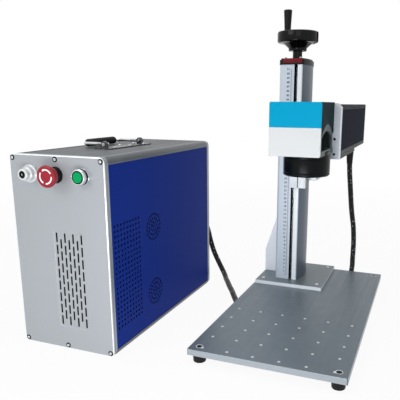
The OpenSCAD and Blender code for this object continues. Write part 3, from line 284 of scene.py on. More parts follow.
# Each with its colour, roughness, metal, spread and scale of the mottle, and bump
SILVER_PLATE = finish("silver_plate", (160, 165, 170), 0.42, 0.3, 0.05, 900, 0.2, rough_spread=0.06,
                      dust=0.03)
# Bare metal of chamfers, rims and screw heads, made near-white as a painted highlight.
PALE_METAL_AND_PAINTED_HIGHLIGHT = finish("pale_metal_and_painted_highlight", (232, 236, 240), 0.3, 0.3, 0.03, 500, 0.05)
RAW_ALUMINIUM = finish("raw_aluminium", (150, 156, 164), 0.36, 0.7, 0.1, 420, 0.15, stretch=ALONG_Y)
RAIL_ALUMINIUM = finish("rail_aluminium", (98, 102, 106), 0.36, 0.4, 0.5, 240, 0.2, stretch=ALONG_Y)
MACHINED = finish("machined_aluminium", (190, 195, 200), 0.36, 0.45, 0.05, 520, 0.12, stretch=ALONG_Z)
BLUE_PAINT = finish("blue_paint", (10, 44, 136), 0.46, 0, 0.08, 650, 0.15, rough_spread=0.05, worn=0.25,
                    worn_colour=tone(90, 104, 160), specular=0.05)
GREY_PAINT = finish("grey_paint", (84, 88, 92), 0.46, 0.15, 0.3, 220, 0.2, stretch=ALONG_Y, dust=0.04,
                    specular=0.1)
ANODISED = finish("blue_grey_anodised", (104, 116, 125), 0.38, 0.35, 0.07, 260, 0.12, stretch=ALONG_Y,
                  worn=0.3, worn_colour=tone(200, 206, 212), dust=0.05, specular=0.3)
PLATE_EDGE = finish("plate_edge", (150, 158, 165), 0.36, 0.3, 0.08, 500, 0.12, stretch=ALONG_X)
COLUMN_SKIN = finish("column_anodised", (194, 205, 217), 0.34, 0.2, 0.02, 300, 0.02, stretch=ALONG_Z,
                     rough_spread=0.02)
# The column's anodised skin, darkened for its right side: painted shade.
COLUMN_PAINTED_SHADE = finish("column_side_painted_shade", (96, 107, 120), 0.36, 0.3, 0.03, 300, 0.02, stretch=ALONG_Z,
                     rough_spread=0.02, specular=0.2)
PAD_SKIN = finish("pad_anodised", (116, 127, 133), 0.4, 0.3, 0.06, 900, 0.2, worn=0.5,
                  worn_colour=tone(214, 220, 226), specular=0.3)
SLATE = finish("slate_cover", (24, 44, 51), 0.6, 0, 0.08, 800, 0.12, worn=0.3, worn_colour=tone(96, 112, 120),
               specular=0.02)
CYAN = finish("cyan_plate", (0, 152, 194), 0.45, 0, 0.03, 700, 0.1, specular=0.06)
WHITE = finish("white_plate", (206, 210, 212), 0.4, 0, 0.02, 700, 0.1, specular=0.3)
GRAPHITE = finish("graphite_frame", (70, 80, 82), 0.44, 0.3, 0.1, 700, 0.2, worn=0.3, specular=0.2)
NAVY = finish("navy_panel", (26, 29, 43), 0.7, 0, 0.08, 700, 0.1, worn=0.2, specular=0.02)
BOX_RAIL = finish("box_rail_aluminium", (128, 132, 140), 0.38, 0.5, 0.08, 500, 0.15, stretch=ALONG_Y)
DARK_RAIL = finish("dark_rail", (30, 32, 42), 0.6, 0, 0.1, 500, 0.1, stretch=ALONG_Y, specular=0.06)
SHADED_RAIL = finish("shaded_rail", (92, 97, 95), 0.6, 0, 0.1, 500, 0.1, stretch=ALONG_Y, specular=0.06)
BOX_STEEL = finish("box_steel", (62, 65, 70), 0.44, 0.3, 0.12, 300, 0.2, stretch=ALONG_Y, dust=0.06,
                   specular=0.25)
BLACK_PLASTIC = finish("black_plastic", (15, 16, 17), 0.4, 0, 0.12, 900, 0.2, specular=0.16)
# Painted shade: near-black for slot and hole walls, screw sockets, and thin rings round the face screws and the start
# cap.
SHADOW_BLACK = finish("painted_shade_black", (14, 15, 17), 0.7, 0, 0.1, 300, 0, specular=0.05)
GLOSS_BLACK = finish("gloss_black", (10, 11, 11), 0.16, 0, 0.2, 120, 0.04, rough_spread=0.05, worn=0.06,
                     worn_colour=tone(60, 60, 62), specular=0.16)
BLACK_ANODISED = finish("black_anodised", (9, 13, 15), 0.3, 0, 0.1, 600, 0.08, specular=0.1)
SCREW_BLACK = finish("screw_black", (30, 32, 34), 0.36, 0.4, 0.2, 900, 0.1)
SCREW_STEEL = finish("screw_steel", (206, 208, 210), 0.26, 0.85, 0.1, 900, 0.08)
CHROME = finish("bright_steel", (214, 217, 220), 0.12, 0.95, 0.04, 200, 0.03, rough_spread=0.05)
STEEL_PLATE = finish("handle_steel", (78, 80, 82), 0.28, 0.7, 0.12, 300, 0.08)
RED_PLASTIC = finish("red_plastic", (144, 26, 42), 0.36, 0, 0.05, 500, 0.08, specular=0.3)
RED_TRIM = finish("red_trim", (116, 30, 36), 0.45, 0, 0.08, 600, 0.1, specular=0.1)
SATIN_STEEL = finish("satin_steel", (206, 209, 212), 0.34, 0.35, 0.04, 500, 0.06)
# Pale aluminium: the gusset's own colour, and painted light on the foot plate's sides and the slide block's front, and
# a painted reflection on the column's front right of its slot.
PALE_ALUMINIUM_AND_PAINTED_LIGHT = finish("pale_aluminium_and_painted_light", (234, 240, 245), 0.4, 0.15, 0.04, 500, 0.08, stretch=ALONG_Z)
# Near-white painted highlight for the grid's threads, the corner screws' rims and the foot plate's screws.
PAINTED_HIGHLIGHT_WHITE = finish("painted_highlight_white", (250, 251, 252), 0.3, 0, 0.02, 500, 0)
BOX_FRONT = finish("box_front_plate", (206, 214, 224), 0.38, 0.15, 0.04, 700, 0.12)
GREEN_LENS = finish("green_lens", (0, 146, 84), 0.36, 0, 0.05, 500, 0.05, specular=0.1)
RUBBER = finish("rubber", (20, 20, 21), 0.62, 0, 0.15, 700, 0.3, dust=0.04, specular=0.2)
WHITE_INK = finish("white_ink", (244, 244, 242), 0.5, 0, 0.02, 300, 0)
DARK_INK = finish("dark_ink", (22, 24, 32), 0.6, 0, 0.05, 300, 0, specular=0.1)
BRONZE = finish("bronze", (176, 134, 72), 0.3, 0.9, 0.12, 400, 0.15)
MIRROR = finish("mirror_coat", (236, 226, 196), 0.04, 1.0, 0.02, 300, 0, rough_spread=0.02)
BOARD_GREEN = finish("board_green", (24, 92, 56), 0.4, 0, 0.15, 500, 0.2)
GRILLE_STEEL = finish("supply_steel", (170, 172, 172), 0.34, 0.8, 0.14, 300, 0.15, stretch=ALONG_Y)
GLASS = finish("lens_glass", (150, 190, 214), 0.03, 0, 0.04, 300, 0, rough_spread=0.01,
               Transmission_Weight=0.75, IOR=1.5, Coat_Weight=0.5, Coat_Roughness=0.02)
BRAID_FIBRES = 24


def braid_finish():
    """Black braided sleeving: crossing strands on a UV map that counts in strands, and pale flecks that paint its
    glints.
    """
    material = finish("braided_sleeve", (13, 14, 16), 0.3, 0, 0.3, 900, 0, specular=0.22)
    tree = material.node_tree
    inputs = tree.nodes["Principled BSDF"].inputs
    place = shader_node(tree, "TexCoord").outputs
    strand = shader_node(tree, "SeparateXYZ", place["UV"]).outputs
    slant = [number(tree, kind, strand["X"], strand["Y"]) for kind in ("ADD", "SUBTRACT")]
    waves = [number(tree, "SINE", number(tree, "MULTIPLY", line, BRAID_FIBRES)) for line in slant]
    relief = shader_node(tree, "Bump", Strength=0.35, Distance=0.0002, Height=number(tree, "ADD", *waves))
    feed(tree, inputs["Normal"], relief.outputs[0])
    # Pale specks scattered over the sleeve: painted glints.
    glint_cells = shader_node(tree, "TexVoronoi", Vector=place["Object"], Scale=260).outputs
    near = ranged(tree, glint_cells["Distance"], 0.25, 0.4, 1.0, 0.0)
    few = number(tree, "GREATER_THAN", shader_node(tree, "SeparateXYZ", glint_cells["Color"]).outputs["X"], 0.86)
    sleeve = inputs["Base Color"].links[0].from_socket
    shown = tint(tree, sleeve, tone(196, 202, 206), number(tree, "MULTIPLY", near, few))
    feed(tree, inputs["Base Color"], shown)
    return material


BRAID = braid_finish()


# Hose: the route of the cord, point by point, from the base plate's front left corner on the floor

HOSE_D = 14.0
BRAID_STRANDS = 10
BRAID_STEP = 1.8
BRAID_SIDES = 40
BRAID_RELIEF = 0.45
BRAID_DIP = 0.45
HOSE_FLOOR_ROUTE = [
    (-184, 426, 170), (-184, 442, 170), (-184, 457, 168), (-183, 471, 162), (-181, 483, 152),
    (-178, 492, 138), (-175, 497, 123), (-172, 498, 108), (-168, 498, 93), (-162, 496, 77),
    (-155, 494, 62), (-147, 491, 49), (-138, 487, 36), (-129, 482, 25), (-120, 475, 16),
    (-111, 464, 10), (-103, 451, 7), (-87, 424, 7), (-70, 395, 7), (-52, 366, 7), (-35, 336, 7),
    (-18, 307, 7), (-2, 279, 7), (17, 252, 7), (40, 230, 7), (68, 213, 7), (100, 205, 7), (132, 207, 7),
    (161, 221, 7), (186, 243, 7), (203, 272, 7), (213, 304, 7), (217, 337, 7), (218, 370, 7),
    (218, 405, 7), (218, 440, 7), (218, 475, 7), (218, 510, 7), (217, 540, 7), (217, 564, 7),
    (217, 583, 10), (217, 600, 20), (217, 612, 35), (216, 618, 49), (216, 620, 64), (216, 620, 80)]
HOSE_DROP_ROUTE = [
    (216, 620, 80), (216, 620, 96), (215, 618, 122), (213, 614, 150), (209, 608, 180), (206, 602, 210),
    (204, 595, 240), (202, 588, 270), (200, 582, 300), (199, 577, 330), (199, 575, 352),
    (199, 575, 369)]


def smooth_route(points, step):
    """The route as a smooth line through its points, with a point every step along it."""
    places = [on_stand(*p) for p in points]
    ends = [2 * places[0] - places[1], *places, 2 * places[-1] - places[-2]]
    fine = []
    for a, b, c, d in zip(ends, ends[1:], ends[2:], ends[3:]):
        count = max(2, round((c - b).length / (step * MM)))
        for i in range(count):
            t = i / count
            fine.append(0.5 * (2 * b + (c - a) * t + (2 * a - 5 * b + 4 * c - d) * t * t
                               + (3 * b - a - 3 * c + d) * t * t * t))
    return [*fine, places[-1]]


def braid_height(around, along):
    """Height of the braid, 0 to 1, where strands of two slants pass over and under each other."""
    first, second = around + along, around - along
    over = (math.floor(first) + math.floor(second)) % 2
    across = first if over else second
    other = second if over else first
    crown = math.sin(math.pi * (across % 1.0))
    return crown * (1 - BRAID_DIP + BRAID_DIP * math.sin(math.pi * (other % 1.0)))


def swept(name, line, radius_at, sides, material, braided=False):
    """A closed tube along a line of points, with rings that keep square to it, and a UV map in strands."""
    bm = bmesh.new()
    uv_layer = bm.loops.layers.uv.new("strands")
    rings = []
    distances = []
    gone = 0.0
    side = Vector((1, 0, 0))
    for i, point in enumerate(line):
        ahead = (line[min(i + 1, len(line) - 1)] - line[max(i - 1, 0)]).normalized()
        side = (side - side.dot(ahead) * ahead).normalized()
        other = ahead.cross(side)
        gone += (point - line[i - 1]).length if i else 0.0
        distances.append(gone / (HOSE_D * MM * math.pi / BRAID_STRANDS))
        ring = []
        for j in range(sides):
            turn = FULL_TURN * j / sides
            radius = radius_at(gone)
            if braided:
                radius += BRAID_RELIEF * MM * (braid_height(BRAID_STRANDS * j / sides, distances[-1]) - 1)
            ring.append(bm.verts.new(point + radius * (math.cos(turn) * side + math.sin(turn) * other)))
        rings.append(ring)
    for i in range(len(rings) - 1):
        for j in range(sides):
            k = (j + 1) % sides
            face = bm.faces.new((rings[i][j], rings[i][k], rings[i + 1][k], rings[i + 1][j]))
            corners = ((j, i), (j + 1, i), (j + 1, i + 1), (j, i + 1))
            for loop, (u, v) in zip(face.loops, corners):
                loop[uv_layer].uv = (BRAID_STRANDS * u / sides, distances[v])
    bm.faces.new(reversed(rings[0]))
    bm.faces.new(rings[-1])
    return shaped(name, bm, material, merge=False)


def shaped(name, bm, *materials, merge=True, sharp=38):
    """A finished piece from a bmesh, with its normals outwards, smooth where its faces meet flatly."""
    if merge:
        bmesh.ops.remove_doubles(bm, verts=bm.verts, dist=PIECE_GAP * MM)
    bmesh.ops.recalc_face_normals(bm, faces=bm.faces)
    mesh = bpy.data.meshes.new(name)
    bm.to_mesh(mesh)
    bm.free()
    mesh.shade_smooth()
    mesh.set_sharp_from_angle(angle=math.radians(sharp))
    for material in materials:
        mesh.materials.append(material)
    piece = bpy.data.objects.new(name, mesh)
    bpy.context.scene.collection.objects.link(piece)
    return piece


def settle(piece, body, slot, *nodes):
    """The piece rides on its body and stands for these CAD nodes; the slot is not used."""
    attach(piece, body)
    if nodes:
        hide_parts(*nodes)
    return piece


def add_hoses():
    radius = HOSE_D / 2 * MM
    floor_line = smooth_route(HOSE_FLOOR_ROUTE, BRAID_STEP)
    floor_piece = swept("hose_on_floor", floor_line, lambda gone: radius, BRAID_SIDES, BRAID, braided=True)
    settle(floor_piece, "frame", "braided_sleeve", "hose_floor")
    drop_line = smooth_route(HOSE_DROP_ROUTE, BRAID_STEP)
    drop_piece = swept("hose_to_head", drop_line, lambda gone: radius, BRAID_SIDES, BRAID, braided=True)
    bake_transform(drop_piece)
    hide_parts("hose_drop")
    return floor_line, drop_line


hose_floor_line, hose_drop_line = add_hoses()


# Shapes: how close points are merged, in millimetres, and how flat faces are joined, in degrees

CAD_GAP = 0.002
SPIN_GAP = 0.005
PIECE_GAP = 0.01
THREAD_GAP = 0.02
FLAT_FACES = 0.8
FLAT_JOIN = 20


def facing(direction):
    """The turn that takes the Z axis to a direction."""
    return UP.rotation_difference(direction).to_matrix().to_4x4()


def ringed(rings, hollow=False, bm=None):
    """A solid from rings of (sides, radius, height), in a bmesh of its own or a given one. Each ring is
    joined to the next, and the ends are closed, or joined to each other where it is hollow."""
    bm = bmesh.new() if bm is None else bm
    loops = []
    for sides, radius, height in rings:
        made = bmesh.ops.create_circle(bm, segments=sides, radius=max(radius, 0.001) * MM,
                                       matrix=Matrix.Translation((0, 0, height * MM)))["verts"]
        corners = set(made)
        loops.append(list(dict.fromkeys(e for v in made for e in v.link_edges if e.other_vert(v) in corners)))
    for a, b in zip(loops, loops[1:] + (loops[:1] if hollow else [])):
        bmesh.ops.bridge_loops(bm, edges=a + b)
    if not hollow:
        for loop in (loops[0], loops[-1]):
            bmesh.ops.contextual_create(bm, geom=loop)
    return bm


def spun(profile, steps, climb=0.0):
    """(radius, height) points turned once about Z, and carried up it where they climb."""
    bm = bmesh.new()
    corners = [bm.verts.new((radius * MM, 0, height * MM)) for radius, height in profile]
    edges = [bm.edges.new(pair) for pair in zip(corners, corners[1:])]
    bmesh.ops.spin(bm, geom=corners + edges, cent=(0, 0, 0), axis=UP, dvec=(0, 0, climb * MM / steps),
                   angle=FULL_TURN, steps=steps, use_merge=not climb, use_normal_flip=False,
                   use_duplicate=False)
    return bm


def turned(profile, steps=64, round_off=0.0):
    """A solid turned about Z from (radius, height) points, with its corners rounded where that is asked."""
    bm = spun(profile, steps)
    bmesh.ops.remove_doubles(bm, verts=bm.verts, dist=SPIN_GAP * MM)
    bmesh.ops.recalc_face_normals(bm, faces=bm.faces)
    if round_off:
        round_edges(bm, round_off, 3)
    return bm


def pushed(bm, faces, reach):
    """Draws faces out into a solid along a vector."""
    drawn = bmesh.ops.extrude_face_region(bm, geom=faces)["geom"]
    bmesh.ops.translate(bm, vec=reach, verts=[v for v in drawn if isinstance(v, bmesh.types.BMVert)])


def round_edges(bm, radius, segments=2, angle=28, chosen=None):
    """Rounds the edges sharper than an angle, or those of them that are chosen; gives the new faces."""
    edges = [e for e in bm.edges if len(e.link_faces) == 2 and e.calc_face_angle(0) > math.radians(angle)
             and (chosen is None or chosen(e))]
    if not edges:
        return []
    made = bmesh.ops.bevel(bm, geom=edges, offset=radius * MM, offset_type="OFFSET", affect="EDGES",
                           segments=segments, profile=0.5, clamp_overlap=True, material=-1)
    return made["faces"]


def stamp(bm, mesh, matrix):
    """Adds a copy of a mesh to a bmesh, in place."""
    before = len(bm.verts)
    bm.from_mesh(mesh)
    bm.verts.ensure_lookup_table()
    bmesh.ops.transform(bm, matrix=matrix, verts=bm.verts[before:])


def pattern_of(bm):
    """A bmesh as a mesh that stamp() can copy."""
    mesh = bpy.data.meshes.new("pattern")
    bmesh.ops.recalc_face_normals(bm, faces=bm.faces)
    bm.to_mesh(mesh)
    bm.free()
    return mesh


def stamped(pattern, places):
    """Copies of a mesh in one bmesh, each at a point or by a matrix."""
    bm = bmesh.new()
    for place in places:
        stamp(bm, pattern, place if isinstance(place, Matrix) else Matrix.Translation(place))
    return bm


def placed(bm, point, direction=UP):
    bmesh.ops.transform(bm, matrix=Matrix.Translation(point) @ facing(direction), verts=bm.verts)
    return bm


def block(low, high, bm=None):
    """A block between two corners, in a bmesh of its own or a given one."""
    bm = bmesh.new() if bm is None else bm
    size = Matrix.Diagonal((*(high - low), 1))
    bmesh.ops.create_cube(bm, size=1, matrix=Matrix.Translation((low + high) / 2) @ size)
    return bm


def spot_of(face):
    return face.calc_center_median()


def copy_of(node):
    """A CAD node's solid with its triangles merged and its flat faces joined."""
    bm = bmesh.new()
    bm.from_mesh(frame["nodes"][node].data)
    bmesh.ops.remove_doubles(bm, verts=bm.verts, dist=CAD_GAP * MM)
    bmesh.ops.dissolve_limit(bm, angle_limit=math.radians(FLAT_FACES), verts=bm.verts, edges=bm.edges)
    return bm


def body_of(node):
    return frame["nodes"][node]["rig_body"]


def dressed(node, slot, material, round_off=0.0, segments=2, chosen=None, edge_material=None, sort=()):
    """A CAD node's own solid with rounded edges, in its finish. The edges may have a finish of their own, and
    so may the faces that sort picks with its pairs of a test and a finish."""
    bm = copy_of(node)
    if round_off:
        faces = round_edges(bm, round_off, segments, chosen=chosen)
        if edge_material:
            for face in faces:
                face.material_index = 1
    materials = [material] + ([edge_material] if edge_material else [])
    for pick, other in sort:
        for face in bm.faces:
            if pick(face):
                face.material_index = len(materials)
        materials.append(other)
    piece = shaped(node + "_finished", bm, *materials, merge=False, sharp=FLAT_JOIN)
    return settle(piece, body_of(node), slot, node)


def plain(node, slot, material):
    """A CAD node that keeps its own mesh, in its finish."""
    piece = frame["nodes"][node]
    piece.data.materials.clear()
    piece.data.materials.append(material)
    return piece


SCREW_TWIST = 0.7
SCREW_SIDES = 24
KEY_SIDES = 6


def socket_screw(head_d, head_h, key_d):
    """A cap screw's head with a six-sided socket, whose faces take the second finish as painted shade."""
    radius, edge, depth = head_d / 2, 0.12 * head_d, 0.6 * head_h
    bm = ringed([(SCREW_SIDES, radius, 0), (SCREW_SIDES, radius, head_h - edge / 2),
                 (SCREW_SIDES, radius - edge / 2, head_h), (KEY_SIDES, key_d / 2, head_h),
                 (KEY_SIDES, key_d / 2, head_h - depth)])
    for face in bm.faces:
        if all(corner.co.xy.length < 0.51 * key_d * MM for corner in face.verts):
            face.material_index = 1
    return pattern_of(bm)


def screws(name, pattern, spots, direction, material, slot, body, *nodes):
    places = [Matrix.Translation(spot) @ facing(direction) @ Matrix.Rotation(SCREW_TWIST * i, 4, "Z")
              for i, spot in enumerate(spots)]
    piece = shaped(name, stamped(pattern, places), material, SHADOW_BLACK, merge=False)
    return settle(piece, body, slot, *nodes)


# Cabinet

FACE_T = (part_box("cabinet_front_plate")[1].y - CABINET.y) / MM
SCREW_INSET = 7.5
FACE_SCREW_D = 5.2
FACE_SCREW_H = 1.6
# A thin dark ring round each face screw: painted shade round its head.
SHADE_RING_R = 5.3
SHADE_RING_BORE_R = 2.5
SHADE_RING_H = 0.2
FACE_EDGE = 1.9
RIM_REACH = 4.0
VENT_TOP = 300.0
HOLE_WALL = 20
HANDLE_PLATE_T = 2.5
HANDLE_SCREW_X = 13
HANDLE_SCREW_Y = 58


def face_spots(y):
    width, _, height = CABINET_SIZE
    return [on_cabinet(x, y, z) for x in (SCREW_INSET, width / 2, width - SCREW_INSET)
            for z in (SCREW_INSET, height - SCREW_INSET)]


def add_faces():
    """Front and rear plates, each with a bright chamfer that is partly painted highlight, slot walls in painted shade,
    and a painted highlight on the step round the vent.
    """
    for node in ("cabinet_front_plate", "cabinet_rear_plate"):
        low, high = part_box(node)
        out = low.y if node == "cabinet_front_plate" else high.y
        centre, half = (low + high) / 2, (high - low) / 2

        def at_rim(point, reach):
            across, up = abs(point.x - centre.x), abs(point.z - centre.z)
            return across > half.x - reach * MM or up > half.z - reach * MM

        def on_face(edge):
            return all(abs(v.co.y - out) < 0.1 * MM for v in edge.verts)

        def outer(edge):
            return on_face(edge) and all(at_rim(v.co, RIM_REACH) for v in edge.verts)

        # Faces deep in the slots take painted shade; the walls of the step round the vent take the painted highlight.
        def finish_of(face):
            spot = spot_of(face)
            if at_rim(spot, 3 * RIM_REACH) or abs(face.normal.y) > 0.5:
                return 0
            return 2 if abs(spot.y - out) > 0.5 * FACE_T * MM else 1 if spot.z < VENT_TOP * MM else 0

        bm = copy_of(node)
        rims = round_edges(bm, FACE_EDGE, 2, chosen=outer)
        for face in bm.faces:
            face.material_index = finish_of(face)
        for face in rims:
            if face.is_valid:
                face.material_index = 1
        piece = shaped(node + "_finished", bm, SILVER_PLATE, PALE_METAL_AND_PAINTED_HIGHLIGHT, SHADOW_BLACK, merge=False,
                       sharp=FLAT_JOIN)
        settle(piece, "frame", "silver_plate", node)


def rail_section(width, height, radius, grooves):
    """Outline of a corner rail from its outer corner inwards: a round corner with fine grooves along it."""
    points = [(width, 0.0)]
    steps = 40
    for i in range(steps + 1):
        turn = math.pi / 2 * i / steps
        wave = abs(math.sin(turn * grooves * 2))
        r = radius - (0.35 if wave < 0.35 and 2 < i < steps - 2 else 0.0)
        points.append((radius - r * math.sin(turn), radius - r * math.cos(turn)))
    points += [(0.0, height), (width, height)]
    return points


def add_rails():
    """Four long corner rails, each a grooved section drawn along the cabinet."""
    width, _, height = CABINET_SIZE
    low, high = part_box("cabinet_corner_rails")
    bm = bmesh.new()
    for top in (False, True):
        leg = 14.0
        rise = 14.0 if top else 11.0
        radius = 12.0 if top else 9.0
        for right in (False, True):
            section = [bm.verts.new(on_cabinet(width - x if right else x, 0, height - z if top else z))
                       for x, z in rail_section(leg, rise, radius, 5)]
            face = bm.faces.new(section)
            bmesh.ops.translate(bm, vec=(0, low.y - CABINET.y, 0), verts=section)
            pushed(bm, [face], (0, high.y - low.y, 0))
    rails = shaped("corner_rails", bm, RAIL_ALUMINIUM, merge=False, sharp=FLAT_JOIN)
    settle(rails, "frame", "raw_aluminium", "cabinet_corner_rails")


def add_cabinet_screws():
    head = socket_screw(FACE_SCREW_D, FACE_SCREW_H, 2.4)
    ring = ringed([(SCREW_SIDES, SHADE_RING_BORE_R, 0), (SCREW_SIDES, SHADE_RING_R, 0), (SCREW_SIDES, SHADE_RING_R - 0.1, SHADE_RING_H),
                   (SCREW_SIDES, SHADE_RING_BORE_R, SHADE_RING_H)], hollow=True)
    shade_ring = pattern_of(ring)
    # The face screws' heads are near-white, a painted highlight, each in a ring of painted shade.
    for end, y, way, nodes in (("front", 0, FORWARD, ["cabinet_screws"]),
                               ("rear", CABINET_SIZE.y, BACKWARD, [])):
        screws("face_screws_" + end, head, face_spots(y), way, PALE_METAL_AND_PAINTED_HIGHLIGHT, "screw_steel", "frame", *nodes)
        screws("face_screw_shade_rings_" + end, shade_ring, face_spots(y), way, SHADOW_BLACK, "screw_black", "frame")
    centre = middle("handle_plate")
    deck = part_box("handle_plate")[0].z + HANDLE_PLATE_T * MM
    spots = [Vector((centre.x + sx * HANDLE_SCREW_X * MM, centre.y + sy * HANDLE_SCREW_Y * MM, deck))
             for sx in (-1, 1) for sy in (-1, 0, 1)]
    screws("handle_screws", socket_screw(8, 2, 3.6), spots, UP, CHROME, "bright_steel", "frame")


def add_shell():
    def in_hole(face):
        return abs(face.normal.x) < 0.5 and face.calc_area() < HOLE_WALL * MM * MM

    for node in ("cabinet_side_right", "cabinet_side_left"):
        # The walls of the panel's holes take painted shade.
        dressed(node, "blue_paint", BLUE_PAINT, sort=[(in_hole, SHADOW_BLACK)])
    plain("cabinet_top_plate", "grey_paint", GREY_PAINT)
    plain("cabinet_bottom_plate", "grey_paint", GREY_PAINT)


# Control stations on the front plate

CONTROL_DROP = 36
CONTROL_Z = CABINET_SIZE.z - CONTROL_DROP
CONTROL_PITCH = 58.5
KEY_SPOT = (CABINET_SIZE.x / 2 - CONTROL_PITCH, CONTROL_Z)
STOP_SPOT = (CABINET_SIZE.x / 2, CONTROL_Z)
START_SPOT = (CABINET_SIZE.x / 2 + CONTROL_PITCH, CONTROL_Z)
PANEL_BORE_R = 10.7
THREAD_END = 39.0
NUT_R = 14.0
NUT_T = 5.0


def threaded_body():
    """Outline of what stands behind the plate: a nut and a threaded body; gives its end too."""
    body = [(PANEL_BORE_R, 0), (PANEL_BORE_R, -FACE_T), (NUT_R, -FACE_T), (NUT_R, -FACE_T - NUT_T),
            (PANEL_BORE_R, -FACE_T - NUT_T)]
    depth = FACE_T + NUT_T
    while depth < THREAD_END - 2:
        body += [(PANEL_BORE_R - 0.7, -depth - 0.75), (PANEL_BORE_R, -depth - 1.5)]
        depth += 1.5
    return body, -depth


BODY, BODY_END = threaded_body()


def station(rings, bore):
    """Outline of a control station: its front rings and its body, round a bore."""
    front = rings[0][1]
    return [(bore, front), *rings, *BODY, (bore, BODY_END), (bore, front)]


def put_station(name, bm, spot, material, slot, body, *nodes, sharp=38):
    placed(bm, on_cabinet(spot[0], 0, spot[1]), FORWARD)
    return settle(shaped(name, bm, material, sharp=sharp), body, slot, *nodes)


def add_key_lock():
    rings = [(9.6, 22), (11, 20.6), (11, 13), (12.4, 13), (14, 11.4), (14, 4), (16.4, 4), (17.5, 2.9),
             (17.5, 0)]
    barrel = turned(station(rings, 7.05), 64, 0.35)
    put_station("key_lock_barrel", barrel, KEY_SPOT, SATIN_STEEL, "bright_steel", "frame", "key_lock_housing",
                sharp=30)
    bm = turned([(0, -12), (7, -12), (7, 21.2), (6.4, 21.9), (5.1, 21.9), (5.0, 18.5), (3.0, 18.5),
                 (3.0, 21.4), (2.4, 21.8), (0, 21.8)], 48)
    put_station("key_lock_core", bm, KEY_SPOT, BLACK_PLASTIC, "black_plastic", "key_plug", "key_lock_plug")
    way = block(Vector((-0.7, -2.0, 18.6)) * MM, Vector((0.7, 2.0, 21.95)) * MM)
    round_edges(way, 0.2)
    put_station("key_way", way, KEY_SPOT, SCREW_STEEL, "bright_steel", "key_plug")


def add_emergency_stop():
    dark_ring = turned(station([(11.6, 8), (13.0, 6.8), (13.0, 1.5), (15.6, 1.2), (15.6, 0)], 8.0), 64, 0.25)
    put_station("stop_collar", dark_ring, STOP_SPOT, BLACK_PLASTIC, "black_plastic", "frame", "estop_housing")
    head = [(0, 21.3), (3.55, 21.3), (3.55, 13.0), (15.6, 13.0), (16.5, 13.4), (17.2, 15.2), (18.8, 19.4),
            (20.1, 22.2), (20.5, 24.2), (20.2, 26.2), (19.2, 27.5), (17.9, 28.0), (16.9, 27.8), (16.2, 27.0),
            (8, 27.15), (0, 27.2)]
    bm = turned(head, 96, 0.2)
    put_station("stop_head", bm, STOP_SPOT, RED_PLASTIC, "red_plastic", "stop_button", "estop_button",
                sharp=50)
    add_stop_arrows()


def add_stop_arrows():
    """Three curved arrows that show which way the head twists."""
    bm = bmesh.new()
    inner, outer, front = 11.4, 14.0, 27.05
    arrows, steps, thick = 3, 12, 0.25
    first_turn, arrow_turn, head_turn = (math.radians(angle) for angle in (28, 84, 14))
    head_reach = 0.9
    for k in range(arrows):
        start = FULL_TURN * k / arrows + first_turn

        def spot(radius, turn, z=front):
            return bm.verts.new((radius * math.cos(turn) * MM, radius * math.sin(turn) * MM, z * MM))

        rows = [(spot(inner, start + arrow_turn * i / steps), spot(outer, start + arrow_turn * i / steps))
                for i in range(steps + 1)]
        for (a, b), (c, d) in zip(rows, rows[1:]):
            bm.faces.new((a, b, d, c))
        tip_turn = start + arrow_turn
        base_in, base_out = spot(inner - head_reach, tip_turn), spot(outer + head_reach, tip_turn)
        tip = spot((inner + outer) / 2, tip_turn + head_turn)
        bm.faces.new((base_in, rows[-1][0], rows[-1][1], base_out, tip))
    pushed(bm, bm.faces[:], (0, 0, thick * MM))
    put_station("stop_arrows", bm, STOP_SPOT, WHITE_INK, "white_plate", "stop_button")


def add_start_button():
    bezel = [(12.1, 14), (13.4, 14), (14.6, 12.8), (15, 11.6), (15, 3.4), (14.4, 2.8), (15.4, 2.4), (15.4, 0)]
    outline = [(12.0, 2.0), (12.0, 14), *bezel[1:], *BODY, (7.0, BODY_END), (7.0, 2.0), (12.0, 2.0)]
    put_station("start_bezel", turned(outline, 72, 0.2), START_SPOT, CHROME, "bright_steel", "frame",
                "start_button_housing", sharp=34)
    cap = [(0, -7), (6.9, -7), (6.9, 5.4), (11.5, 5.4), (11.5, 13.2), (10.9, 13.6), (9.9, 13.7), (9.7, 14.4),
           (6, 14.85), (0, 15.0)]
    put_station("start_cap", turned(cap, 64, 0.15), START_SPOT, GREEN_LENS, "green_lens", "start_button",
                "start_button_cap")
    # A thin dark ring at the cap's edge: painted shade in the gap to the bezel.
    ring = ringed([(48, 9.8, 13.3), (48, 11.9, 13.3), (48, 11.8, 14.2), (48, 10.0, 14.4)], hollow=True)
    put_station("start_cap_shade_ring", ring, START_SPOT, SHADOW_BLACK, "black_plastic", "start_button")
    # A black band round the bezel's side: painted dark reflection on the chrome.
    dark_ring = ringed([(72, 14.6, 2.6), (72, 15.25, 2.9), (72, 15.25, 7.6), (72, 14.6, 7.9)], hollow=True)
    put_station("start_bezel_dark_band", dark_ring, START_SPOT, BLACK_PLASTIC, "black_plastic", "frame")


# Carry handle

def add_handle():
    low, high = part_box("handle_grip")
    radius, bore, half = (high.x - low.x) / 2 / MM, 3.55, (high.y - low.y) / 2 / MM
    profile = [(bore, -half), (radius - 2.2, -half), (radius - 0.6, -half + 1.0), (radius, -half + 3)]
    ribs, pitch = 26, 3.2
    start = -ribs * pitch / 2
    for i in range(ribs):
        at = start + i * pitch
        profile += [(radius, at), (radius - 0.5, at + 0.5), (radius - 0.5, at + 1.1), (radius, at + 1.6)]
    profile += [(radius, half - 3), (radius - 0.6, half - 1.0), (radius - 2.2, half), (bore, half),
                (bore, -half)]
    bm = placed(turned(profile, 48), middle("handle_grip"), BACKWARD)
    settle(shaped("carry_grip", bm, RUBBER, sharp=50), "carry_handle", "rubber", "handle_grip")


# Inside and behind the cabinet

